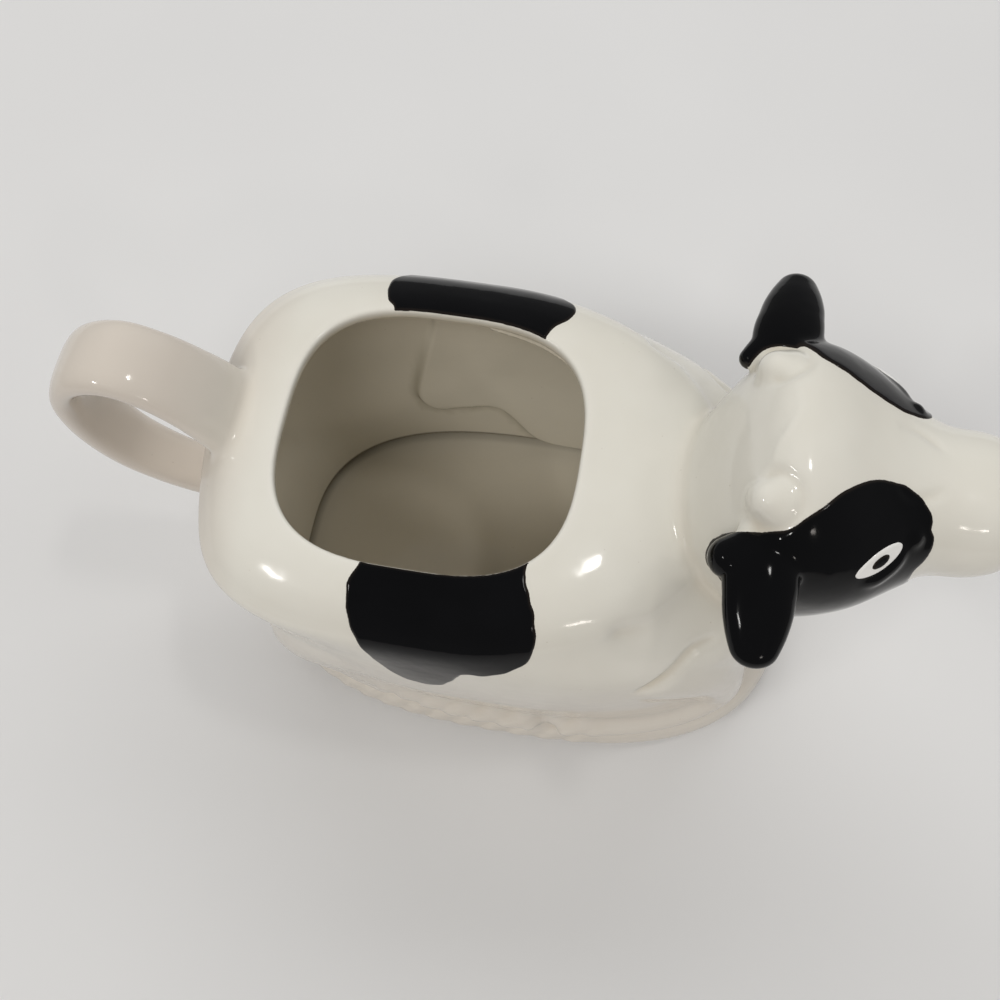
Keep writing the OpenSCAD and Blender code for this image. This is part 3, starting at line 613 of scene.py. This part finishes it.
def piece(name, A, budget, material):
    """The surface of a field as one object of at most so many triangles, and its points in millimetres."""
    points, faces = biggest(*mesh_of(A))
    me = bpy.data.meshes.new(name)
    me.from_pydata((points * MM).tolist(), [], faces.tolist())
    me.update()
    ob = bpy.data.objects.new(name, me)
    bpy.context.scene.collection.objects.link(ob)
    if len(faces) > budget:
        mod = ob.modifiers.new("fewer", "DECIMATE")
        mod.ratio = budget / len(faces)
        graph = bpy.context.evaluated_depsgraph_get()
        new = bpy.data.meshes.new_from_object(ob.evaluated_get(graph))
        ob.modifiers.clear()
        ob.data = new
        bpy.data.meshes.remove(me)
        new.name = name
        me = new
    flat = np.empty(len(me.vertices) * 3)
    me.vertices.foreach_get("co", flat)
    p = flat.reshape(-1, 3) / MM
    # shade by the field's own slope, so the facets of the mesh never show in the gloss
    normal = slope(A, p, 0.8 * CELL)
    for poly in me.polygons:
        poly.use_smooth = True
    me.normals_split_custom_set_from_vertices(normal.tolist())
    me.materials.append(material)
    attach(ob, "root")
    return ob, p


def attribute(me, name, values):
    a = me.attributes.new(name, "FLOAT", "POINT")
    a.data.foreach_set("value", np.asarray(values, np.float32))


# ---- materials ---------------------------------------------------------------------------------------------

def material(name):
    m = bpy.data.materials.new(name)
    m.use_nodes = True
    t = m.node_tree
    t.nodes.clear()
    out = t.nodes.new("ShaderNodeOutputMaterial")
    b = t.nodes.new("ShaderNodeBsdfPrincipled")
    t.links.new(b.outputs[0], out.inputs[0])
    return m, t, b


def ramp(t, source, stops):
    n = t.nodes.new("ShaderNodeValToRGB")
    r = n.color_ramp
    while len(r.elements) > len(stops):
        r.elements.remove(r.elements[-1])
    while len(r.elements) < len(stops):
        r.elements.new(0.5)
    for e, (at, c) in zip(r.elements, stops):
        e.position = at
        e.color = (*c, 1) if len(c) == 3 else c
    t.links.new(source, n.inputs[0])
    return n.outputs[0]


def noise(t, where, scale, detail=3.0, rough=0.5):
    n = t.nodes.new("ShaderNodeTexNoise")
    n.inputs["Scale"].default_value = scale
    n.inputs["Detail"].default_value = detail
    n.inputs["Roughness"].default_value = rough
    t.links.new(where, n.inputs["Vector"])
    return n.outputs[0]


def math_node(t, op, a, b):
    n = t.nodes.new("ShaderNodeMath")
    n.operation = op
    for k, v in enumerate((a, b)):
        if isinstance(v, (int, float)):
            n.inputs[k].default_value = v
        else:
            t.links.new(v, n.inputs[k])
    return n.outputs[0]


def blend(t, factor, a, b, mode="MIX"):
    n = t.nodes.new("ShaderNodeMix")
    n.data_type = "RGBA"
    n.blend_type = mode
    for k, v in ((0, factor), (6, a), (7, b)):
        if isinstance(v, (int, float)):
            n.inputs[k].default_value = v
        elif isinstance(v, tuple):
            n.inputs[k].default_value = (*v, 1)
        else:
            t.links.new(v, n.inputs[k])
    return n.outputs[2]


def named(t, name):
    n = t.nodes.new("ShaderNodeAttribute")
    n.attribute_name = name
    return n.outputs["Fac"]


def place(t):
    return t.nodes.new("ShaderNodeTexCoord").outputs["Object"]


def value(t, colour):
    """One number out of a grey colour."""
    n = t.nodes.new("ShaderNodeSeparateColor")
    t.links.new(colour, n.inputs[0])
    return n.outputs[0]


def bump(t, height, strength, distance, normal=None):
    n = t.nodes.new("ShaderNodeBump")
    n.inputs["Strength"].default_value = strength
    n.inputs["Distance"].default_value = distance
    t.links.new(height, n.inputs["Height"])
    if normal is not None:
        t.links.new(normal, n.inputs["Normal"])
    return n.outputs[0]


# Colours are linear. Noise scales are cycles per metre, bump distances are metres.
CREAM_THIN, CREAM_THICK = (0.705, 0.680, 0.605), (0.755, 0.735, 0.665)
# the pooled colour is partly glaze pooling and partly painted shade in the creases
POOLED_AND_SHADE, WORN = (0.60, 0.54, 0.43), (0.79, 0.77, 0.71)
# the pinkish clay colour also stands for painted shade on the handle, the rump and the lower body
CLAY_TONE_AND_SHADE, IRON = (0.62, 0.553, 0.485), (0.36, 0.29, 0.22)
# the olive inside colours are partly glaze tone and partly painted shade, the floor's the more shaded
OLIVE_FLOOR_AND_SHADE, OLIVE_WALL_AND_SHADE = (0.625, 0.575, 0.47), (0.715, 0.665, 0.555)
# both dark colours here are painted shade, at the foot of the inner wall and at the foot of the ledge
JUNCTION_SHADE, LEDGE_SHADE = (0.215, 0.185, 0.13), (0.40, 0.36, 0.27)
BLACK_THICK, BLACK_THIN, BLACK_EDGE = (0.0010, 0.0011, 0.0015), (0.0026, 0.0027, 0.0034), (0.020, 0.015, 0.012)
WHITE_THIN, WHITE_THICK = (0.83, 0.82, 0.79), (0.88, 0.87, 0.85)
CLAY_DARK, CLAY_PALE, CLAY_STAIN = (0.60, 0.52, 0.42), (0.74, 0.66, 0.56), (0.47, 0.40, 0.32)
TABLE_DARK, TABLE_PALE = (0.700, 0.697, 0.694), (0.725, 0.722, 0.718)
NONE, FULL = (0, 0, 0), (1, 1, 1)


def grey(v):
    return (v, v, v)


def glaze_cream():
    m, t, b = material("cream_glaze")
    where = place(t)
    # thick and thin glaze: cream on the open faces, warmer and deeper where it pools in a crease, darkened there
    # as painted shade too, and a little bare and sandy on the sharp edges
    colour = ramp(t, noise(t, where, 38), [(0.32, CREAM_THIN), (0.68, CREAM_THICK)])
    colour = blend(t, named(t, "pool_and_shade"), colour, POOLED_AND_SHADE)
    colour = blend(t, named(t, "edge"), colour, WORN)
    # inside the jug the glaze is an olive tone darkened as painted shade, darkest on the floor as painted shade;
    # heights here are in centimetres above the table
    inside = named(t, "inside")
    up = t.nodes.new("ShaderNodeSeparateXYZ")
    t.links.new(where, up.inputs[0])
    height = math_node(t, "MULTIPLY", up.outputs[2], 100.0)
    colour = blend(t, inside, colour, ramp(t, height, [(0.657, OLIVE_FLOOR_AND_SHADE), (0.675, OLIVE_WALL_AND_SHADE)]))
    # painted shade: a dark band low on the wall where it meets the floor, and along the foot of the inner ledge
    junction_shade = ramp(t, height, [(0.658, NONE), (0.675, FULL), (0.92, grey(0.9)), (1.0, NONE)])
    colour = blend(t, math_node(t, "MULTIPLY", value(t, junction_shade), inside), colour, JUNCTION_SHADE)
    colour = blend(t, named(t, "ledge_shade"), colour, LEDGE_SHADE)
    # the handle and the lower body are pinkish grey where the clay shows through, and darker there as painted
    # shade
    colour = blend(t, named(t, "strap"), colour, CLAY_TONE_AND_SHADE)
    # fine specks of iron and a few pinholes
    speck = t.nodes.new("ShaderNodeTexVoronoi")
    speck.inputs["Scale"].default_value = 520
    t.links.new(where, speck.inputs["Vector"])
    dots = ramp(t, speck.outputs["Distance"], [(0.0, FULL), (0.10, NONE)])
    rare = ramp(t, noise(t, where, 900, 1.0), [(0.60, NONE), (0.66, FULL)])
    spots = value(t, blend(t, 1.0, dots, rare, "MULTIPLY"))
    colour = blend(t, math_node(t, "MULTIPLY", spots, 0.55), colour, IRON)
    t.links.new(colour, b.inputs["Base Color"])
    rough = ramp(t, noise(t, where, 160, 4.0), [(0.3, grey(0.085)), (0.75, grey(0.15))])
    t.links.new(rough, b.inputs["Roughness"])
    b.inputs["IOR"].default_value = 1.48
    b.inputs["Coat Weight"].default_value = 0.15
    b.inputs["Coat Roughness"].default_value = 0.04
    wave = bump(t, noise(t, where, 95, 2.0), 0.22, 0.0009)
    peel = bump(t, noise(t, where, 620, 2.0), 0.10, 0.00010, wave)
    pits = bump(t, math_node(t, "MULTIPLY", spots, -1.0), 0.25, 0.00008, peel)
    t.links.new(pits, b.inputs["Normal"])
    return m


def glaze_black():
    m, t, b = material("black_glaze")
    where = place(t)
    base = ramp(t, noise(t, where, 60), [(0.3, BLACK_THICK), (0.75, BLACK_THIN)])
    # the black thins to brown along its very edge
    t.links.new(blend(t, named(t, "thin"), base, BLACK_EDGE), b.inputs["Base Color"])
    rough = ramp(t, noise(t, where, 210, 4.0), [(0.3, grey(0.06)), (0.75, grey(0.12))])
    t.links.new(rough, b.inputs["Roughness"])
    b.inputs["IOR"].default_value = 1.30
    wave = bump(t, noise(t, where, 120, 2.0), 0.25, 0.0008)
    t.links.new(bump(t, noise(t, where, 700, 2.0), 0.10, 0.00010, wave), b.inputs["Normal"])
    return m


def eye_white_glaze():
    m, t, b = material("eye_white_glaze")
    where = place(t)
    base = ramp(t, noise(t, where, 300, 2.0), [(0.3, WHITE_THIN), (0.7, WHITE_THICK)])
    t.links.new(base, b.inputs["Base Color"])
    rough = ramp(t, noise(t, where, 900, 2.0), [(0.3, grey(0.08)), (0.7, grey(0.14))])
    t.links.new(rough, b.inputs["Roughness"])
    b.inputs["Coat Weight"].default_value = 0.4
    t.links.new(bump(t, noise(t, where, 500, 2.0), 0.15, 0.0001), b.inputs["Normal"])
    return m


def bisque():
    m, t, b = material("bare_clay")
    where = place(t)
    grain = noise(t, where, 1500, 6.0, 0.7)
    base = ramp(t, grain, [(0.3, CLAY_DARK), (0.7, CLAY_PALE)])
    stain = value(t, ramp(t, noise(t, where, 45), [(0.45, NONE), (0.75, FULL)]))
    t.links.new(blend(t, math_node(t, "MULTIPLY", stain, 0.4), base, CLAY_STAIN), b.inputs["Base Color"])
    t.links.new(ramp(t, grain, [(0.3, grey(0.78)), (0.7, grey(0.92))]), b.inputs["Roughness"])
    t.links.new(bump(t, grain, 0.5, 0.00015), b.inputs["Normal"])
    return m


CREAM = glaze_cream()
BLACK = glaze_black()
WHITE = eye_white_glaze()
CLAY = bisque()

# ---- the pieces --------------------------------------------------------------------------------------------

SKIN_TRIANGLES = 190000
skin_piece, p = piece("glazed_skin", cast, SKIN_TRIANGLES, CREAM)
x, y, z = p.T
# concave creases pool the glaze and get painted shade, sharp outward edges shed it: the softened field tells them
# apart
bend = sample(wide, p) - sample(cast, p)
inner = ease(-sample(outer, p), 0.9, 1.0)
# painted shade along the foot of the inner ledge
step = polygon_distance(x, z, loop(LEDGE, 4))
ledge_shade = np.exp(-((step - 0.6) / 1.1) ** 2) * inner
ledge_shade = ledge_shade * ease(np.abs(y), 14, 8) * ease(z, 7, 2) * ease(z, 48, -16)
# the handle with its roots, and the lower body: pinkish clay tone and painted shade
strap = ease(x, -49, -16) * ease(z, 30, 6) * (1 - inner)
low = ease(z, 56, -24) * (1 - inner)
attribute(skin_piece.data, "pool_and_shade", ease(-bend, 0, 0.30) ** 1.3 * 0.75)
attribute(skin_piece.data, "edge", ease(bend, 0.10, 0.45) * 0.55)
attribute(skin_piece.data, "inside", inner)
attribute(skin_piece.data, "ledge_shade", 0.75 * ledge_shade)
attribute(skin_piece.data, "strap", np.maximum(0.8 * strap, 0.5 * low))
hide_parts("grass_base", "body_shell", "head_shell", "muzzle", "forelock", "horn_left", "horn_right",
            "handle", "tail", "fore_leg_left", "fore_leg_right", "hind_leg_left", "hind_leg_right")

# Black glaze, eye whites and pupils are thin closed coats laid on the casting's own fine surface. A coat's
# outline is a signed distance at each point, so its rounded edge runs smoothly across the cells.
COAT, WHITE_COAT, PUPIL_COAT = 0.28, 0.22, 0.20
PUPIL_FLOOR = COAT + 0.20
# Its underside lies this deep in the casting, and beyond its outline its top dips under the surface
ROOT_DEPTH, DIP, DIP_OVER = 0.9, 0.22, 0.3
# Triangles are kept to this distance beyond the outline, before and after they are refined
MARGIN_COARSE, MARGIN_FINE = 0.45, 0.35
fine_points, fine_faces = biggest(*mesh_of(cast))
# coats are laid on the outer skin alone, not on the wall of the hollow behind it
outside = (sample(outer, fine_points) > -0.6 * WALL)[fine_faces].all(1)


def refine(points, faces):
    """Each triangle in four, with the new points put back on the casting."""
    edges = np.sort(faces[:, [[0, 1], [1, 2], [2, 0]]].reshape(-1, 2), axis=1)
    pairs, index = np.unique(edges, axis=0, return_inverse=True)
    index = index.reshape(-1, 3) + len(points)
    middle = points[pairs].mean(1)
    for _ in range(2):
        middle = middle - slope(cast, middle, 0.8 * CELL) * sample(cast, middle)[:, None]
    a, b, c = faces.T
    ab, bc, ca = index.T
    new = np.concatenate([np.stack(f, 1) for f in ((a, ab, ca), (ab, b, bc), (ca, bc, c), (ab, bc, ca))])
    return np.concatenate([points, middle]), new


def coat(name, outline, floor, rise, mat, replaced, fine=1, soft=0.6):
    """A closed layer over the part of the casting where outline(points) is negative.

    It lies floor above the casting, is rise thick and rounds off over soft. Its mesh is refined fine times.
    """
    d = outline(fine_points)
    faces = fine_faces[(d[fine_faces] < MARGIN_COARSE).any(1) & outside]
    used, index = np.unique(faces, return_inverse=True)
    points, faces = fine_points[used], index.reshape(-1, 3)
    for _ in range(fine):
        points, faces = refine(points, faces)
    d = outline(points)
    faces = faces[(d[faces] < MARGIN_FINE).any(1)]
    used, index = np.unique(faces, return_inverse=True)
    points, faces, d = points[used], index.reshape(-1, 3), d[used]
    normal = slope(cast, points, 0.8 * CELL)
    u = np.clip(-d / soft, 0, 1)
    lift = rise * np.sqrt(u * (2 - u)) - DIP * np.clip(d / DIP_OVER, 0, 1)
    # the rounded edge leans the shading normal outwards
    reach = 0.15 * np.eye(3)
    lean = np.stack([outline(points + e) - outline(points - e) for e in reach], 1) / 0.3
    steep = np.clip(rise / soft * (1 - u) / np.sqrt(u * (2 - u) + 0.06), 0, 1.2) * (d < 0.1)
    shade = normal + lean * steep[:, None]
    shade /= np.linalg.norm(shade, axis=1, keepdims=True) + 1e-9
    top = points + normal * (floor + lift)[:, None]
    under = points + normal * (floor - ROOT_DEPTH)
    n = len(points)
    edges = faces[:, [[0, 1], [1, 2], [2, 0]]].reshape(-1, 2)
    key = edges[:, 0] * n + edges[:, 1]
    rim = edges[~np.isin(key, edges[:, 1] * n + edges[:, 0])]
    wall = np.concatenate([np.stack([rim[:, 1], rim[:, 0], rim[:, 0] + n], 1),
                           np.stack([rim[:, 1], rim[:, 0] + n, rim[:, 1] + n], 1)])
    me = bpy.data.meshes.new(name)
    me.from_pydata((np.concatenate([top, under]) * MM).tolist(), [],
                   np.concatenate([faces, faces[:, ::-1] + n, wall]).tolist())
    me.update()
    ob = bpy.data.objects.new(name, me)
    bpy.context.scene.collection.objects.link(ob)
    for poly in me.polygons:
        poly.use_smooth = True
    me.normals_split_custom_set_from_vertices(np.concatenate([shade, -normal]).tolist())
    me.materials.append(mat)
    if mat is BLACK:
        thin = np.clip((d + 0.5) / 0.45, 0, 1) * 0.8
        attribute(me, "thin", np.concatenate([thin, thin]))
    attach(ob, "root")
    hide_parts(*replaced)
    return ob


def wander(p, size):
    """The slow unevenness of a brushed edge."""
    x, y, z = p[:, 0], p[:, 1], p[:, 2]
    return size * (np.sin(0.9 * x + 0.7 * z) * np.cos(0.6 * z - 0.5 * y) + 0.5 * np.sin(1.7 * x - 1.3 * y + 2.0))


# Flanks: the outline in (x, w), where w runs from the rim out over the back and down the flank
NEAR_FLANK = [(-25.6, -9), (-26.2, -2.5), (-27.0, 0.8), (-28.2, 5.1), (-27.9, 10.0), (-27.2, 14.2), (-25.3, 20.4),
              (-22.2, 30.8), (-18.0, 38.5), (-12.2, 39.2), (-8.6, 33.4), (-7.2, 28.6), (-5.4, 27.3), (-2.8, 27.0),
              (1.2, 24.1), (4.5, 19.7), (5.7, 13.8), (4.9, 6.9), (3.2, 1.2), (2.0, -2.5), (0.2, -9)]
FAR_FLANK = [(-30.0, -9), (-30.6, -2.5), (-31.4, 0.0), (-33.0, 2.6), (-33.8, 6.4), (-33.6, 12), (-31.5, 18.5),
             (-27.5, 25), (-21.5, 29), (-14.5, 30), (-8.5, 27.5), (-3.0, 22.0), (1.0, 16.0), (3.4, 10.2),
             (2.2, 5.2), (-0.3, 1.2), (-2.0, -2.5), (-4.6, -9)]
# The distance where no outline is near, and the width of the rim that stays bare of black
NOWHERE, RIM_BARE = 9.0, 0.28


def flank_outline(outline, side):
    curve = loop(outline, 6)

    def distance(p):
        d = np.full(len(p), NOWHERE)
        x, y, z = p.T
        ok = (y * side > 15) & (z > 25) & (x > -42) & (x < 14) & (np.abs(sample(outer, p)) < 1.0)
        q = p[ok]
        w = np.abs(q[:, 1]) - OPENING_HALF_W + RIM_Z - q[:, 2]
        v = polygon_distance(q[:, 0], w, curve) + wander(q, 0.16)
        d[ok] = np.maximum(v, RIM_BARE - rim_distance(q[:, 0], q[:, 1]))
        return d
    return distance


coat("black_flank_right", flank_outline(NEAR_FLANK, NEAR), 0, COAT, BLACK, ["flank_patch_right"])
coat("black_flank_left", flank_outline(FAR_FLANK, FAR), 0, COAT, BLACK, ["flank_patch_left"])

# The near side of the face: its outline is in pixels of the photograph's view, laid on the head from there, and
# it ends under the cheek at a turn. The far side: its outline is in (x, turn in degrees).
NEAR_FACE_PX = [(705.5, 556), (707.5, 547), (715.8, 537.5), (733, 532), (754, 532), (776, 532), (793, 527),
                (806, 519), (823, 507), (840, 494.5), (857.5, 484.5), (875, 480), (892, 481.5), (909, 488.5),
                (922, 499), (930.5, 511.5), (933.2, 522), (931.8, 530), (933.8, 538), (931.5, 549), (924, 561),
                (912, 574), (898, 596), (876, 626), (835, 645), (806, 650), (790, 664), (764, 674), (740, 668),
                (728, 645), (726, 612), (725, 590), (719, 577), (709, 566)]
FAR_FACE = [(36.5, -12), (36.6, 10), (38.6, 24), (42.2, 35.0), (45.5, 51.0), (50.4, 54.8), (56.7, 55.7),
            (62.0, 52.5), (65.6, 44.0), (67.0, 30), (66.0, 14), (62.4, 0), (56.5, -10), (49.5, -14), (42.5, -14)]
# Turns are taken round the head's middle line, where a degree is this long on the cheek
HEAD_MIDDLE_Z = 76
DEGREE = 21.0 * math.pi / 180
CHEEK_TURN = -17
# Black starts here on the far ear's root, covers both ears from there, and stays clear of the far horn
EAR_ROOT_Y, EAR_BLACK_Y = 15.4, 19.0
HORN_CLEAR_R, HORN_CLEAR_AT = 5.0, (39.3, 13.0)
near_curve = loop(NEAR_FACE_PX, 5)
far_curve = loop(FAR_FACE, 6)
ears = {}
for side in (NEAR, FAR):
    ears[side] = np.full(tuple(COUNT), 4.0, np.float32)
    part, f = ear_chain(side)
    ears[side][part] = f


def near_face(q, turn):
    across, up, back = VIEW @ (q - VIEW_FROM).T
    middle = PICTURE / 2
    v = polygon_distance(middle - FOCAL_PX * across / back, middle + FOCAL_PX * up / back, near_curve)
    return np.maximum(-v * back / FOCAL_PX, (CHEEK_TURN - turn) * DEGREE + 1.2 * np.sin(q[:, 0] * 0.35))


def far_face(q, turn, ear):
    v = polygon_distance(q[:, 0], turn * DEGREE, far_curve * [1, DEGREE])
    root = np.maximum(ear - 1.0, EAR_ROOT_Y - q[:, 1])
    clear = np.hypot(q[:, 0] - HORN_CLEAR_AT[0], q[:, 1] - HORN_CLEAR_AT[1])
    root = np.maximum(root, HORN_CLEAR_R - clear)
    k = np.clip(0.5 + 0.5 * (root - v) / 2.0, 0, 1)
    return root + (v - root) * k - 2.0 * k * (1 - k)


def face_outline(side):
    def distance(p):
        d = np.full(len(p), NOWHERE)
        x, y, z = p.T
        ok = (y * side > 0) & (x > 28) & (x < 72) & (z > 55)
        q = p[ok]
        ear, head, body = sample(ears[side], q), sample(head_form, q), sample(body_form, q)
        turn = np.degrees(np.arctan2(q[:, 2] - HEAD_MIDDLE_Z, q[:, 1] * side))
        v = near_face(q, turn) if side == NEAR else far_face(q, turn, ear)
        # the whole ear beyond its root is black, and the barrel behind it is not
        v = np.minimum(v, np.maximum(ear - 0.9, EAR_BLACK_Y - np.abs(q[:, 1])))
        v = np.maximum(v, (np.minimum(head, ear) - body) * 0.7 - 0.2)
        d[ok] = v + wander(q, 0.10)
        return d
    return distance


coat("black_face_right", face_outline(NEAR), 0, COAT, BLACK, ["face_patch_right", "ear_right"])
coat("black_face_left", face_outline(FAR), 0, COAT, BLACK, ["face_patch_left", "ear_left"])


# Eyes: an almond of white round a long pupil. Each has a centre and the slope of the cheek there in degrees;
# both turn with the head's taper and tilt a little.
EYES = {NEAR: (np.array([58.1, -16.8, 86.0]), 28), FAR: (np.array([58.1, 18.8, 81.9]), 14)}
EYE_TAPER, EYE_TILT, EYE_WINDOW = 34, 7, 10
EYE_HALF_L, EYE_HALF_W = 4.7, 1.7
PUPIL_HALF_L, PUPIL_HALF_W = 1.75, 0.85


def turn_about(degrees, axis):
    return Matrix.Rotation(math.radians(degrees), 3, axis)


def eye_outline(side, shape):
    centre, cheek = EYES[side]
    plane = np.array(turn_about(-side * EYE_TAPER, "Z") @ turn_about(side * cheek, "X")
                     @ turn_about(-side * 90, "X") @ turn_about(-side * EYE_TILT, "Z"))

    def distance(p):
        d = np.full(len(p), NOWHERE)
        ok = ((p - centre) ** 2).sum(1) < EYE_WINDOW ** 2
        q = (p[ok] - centre) @ plane
        d[ok] = shape(q[:, 0], q[:, 1])
        return d
    return distance


def almond(u, v):
    """An oval that draws in a little more towards its ends than an ellipse."""
    r = (np.abs(u / EYE_HALF_L) ** 1.75 + np.abs(v / EYE_HALF_W) ** 2) ** (1 / 1.9) + 1e-6
    return (r - 1) / (np.hypot(u / EYE_HALF_L ** 2, v / EYE_HALF_W ** 2) / r + 0.06)


def long_pupil(u, v):
    return (np.hypot(u / PUPIL_HALF_L, v / PUPIL_HALF_W) - 1) * 1.1


for side, word in ((FAR, "left"), (NEAR, "right")):
    coat("eye_white_" + word, eye_outline(side, almond), COAT, WHITE_COAT, WHITE, ["eye_" + word],
         2, 0.45)
    coat("eye_pupil_" + word, eye_outline(side, long_pupil), PUPIL_FLOOR, PUPIL_COAT, BLACK,
         ["pupil_" + word], 2, 0.4)

# the bare foot ring keeps its exact CAD shape and gets a fired clay finish
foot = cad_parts["foot_ring"]
for s in foot.material_slots:
    s.material = CLAY
if not foot.material_slots:
    foot.data.materials.append(CLAY)

# ---- floor, light and camera -------------------------------------------------------------------------------

FLOOR_HALF = 3.0
floor_mesh = bpy.data.meshes.new("floor")
floor_mesh.from_pydata([(-FLOOR_HALF, -FLOOR_HALF, 0), (FLOOR_HALF, -FLOOR_HALF, 0), (FLOOR_HALF, FLOOR_HALF, 0),
                        (-FLOOR_HALF, FLOOR_HALF, 0)], [], [(0, 1, 2, 3)])
floor = bpy.data.objects.new("floor", floor_mesh)
bpy.context.scene.collection.objects.link(floor)
mat, t, b = material("table_top")
cloud = noise(t, place(t), 9, 2.0)
t.links.new(ramp(t, cloud, [(0.3, TABLE_DARK), (0.7, TABLE_PALE)]), b.inputs["Base Color"])
b.inputs["Roughness"].default_value = 0.55
floor_mesh.materials.append(mat)

LAMPS_LOOK_AT = (0.0, 0.0, 0.05)
DAYLIGHT, SKY, ROOM, WARM = (1.0, 0.985, 0.96), (1.0, 1.0, 1.0), (1.0, 0.93, 0.87), (1.0, 0.82, 0.72)


def lamp(name, direction, distance, size, power, colour, shows):
    """A soft rectangular lamp, so many metres away, that looks at the jug. The glaze mirrors it if it shows."""
    z = np.array(direction, float)
    z /= np.linalg.norm(z)
    x = np.cross([0, 0, 1.0], z)
    x /= np.linalg.norm(x)
    y = np.cross(z, x)
    light = bpy.data.lights.new(name, "AREA")
    light.shape = "RECTANGLE"
    light.size, light.size_y = size
    light.energy = power
    light.color = colour
    ob = bpy.data.objects.new(name, light)
    ob.matrix_world = placed((x, y, z), z * distance + LAMPS_LOOK_AT)
    ob.visible_glossy = shows
    bpy.context.scene.collection.objects.link(ob)


def placed(axes, at):
    """The matrix of an object with these axes at a place in metres."""
    m = Matrix.Identity(4)
    for r in range(3):
        m[r][0], m[r][1], m[r][2] = axes[0][r], axes[1][r], axes[2][r]
        m[r][3] = at[r]
    return m


lamp("window", (-0.22, -0.50, 0.82), 1.5, (0.80, 0.50), 7.7, DAYLIGHT, False)
lamp("window_glint", (-0.56, -0.40, 0.72), 1.5, (0.22, 0.07), 1.9, DAYLIGHT, True)
lamp("ceiling", (0.30, 0.12, 0.95), 1.9, (0.20, 0.12), 2.2, DAYLIGHT, True)
lamp("front_right", (0.45, -0.62, 0.62), 1.8, (0.20, 0.12), 1.0, ROOM, True)
lamp("warm_front", (0.05, -0.95, 0.32), 1.2, (1.2, 0.4), 0.8, WARM, False)
lamp("far_sky", (-0.12, 0.85, 0.75), 1.2, (1.5, 0.7), 7.6, SKY, False)
lamp("right_sky", (0.85, 0.10, 0.75), 1.6, (1.0, 0.8), 2.8, SKY, False)

AROUND, AROUND_STRENGTH = (1.0, 0.995, 0.985), 0.22
world = bpy.data.worlds.new("studio")
bpy.context.scene.world = world
world.use_nodes = True
wt = world.node_tree
wt.nodes.clear()
w_out = wt.nodes.new("ShaderNodeOutputWorld")
w_bg = wt.nodes.new("ShaderNodeBackground")
w_bg.inputs[0].default_value = (*AROUND, 1)
w_bg.inputs[1].default_value = AROUND_STRENGTH
wt.links.new(w_bg.outputs[0], w_out.inputs[0])

SENSOR = 36
camera_data = bpy.data.cameras.new("camera")
camera_data.sensor_width = SENSOR
camera_data.lens = SENSOR * FOCAL_PX / PICTURE
camera_data.clip_start = 0.01
camera = bpy.data.objects.new("camera", camera_data)
camera.matrix_world = placed(VIEW, VIEW_FROM * MM)
bpy.context.scene.collection.objects.link(camera)
bpy.context.scene.camera = camera
bpy.context.scene.view_settings.view_transform = "Standard"
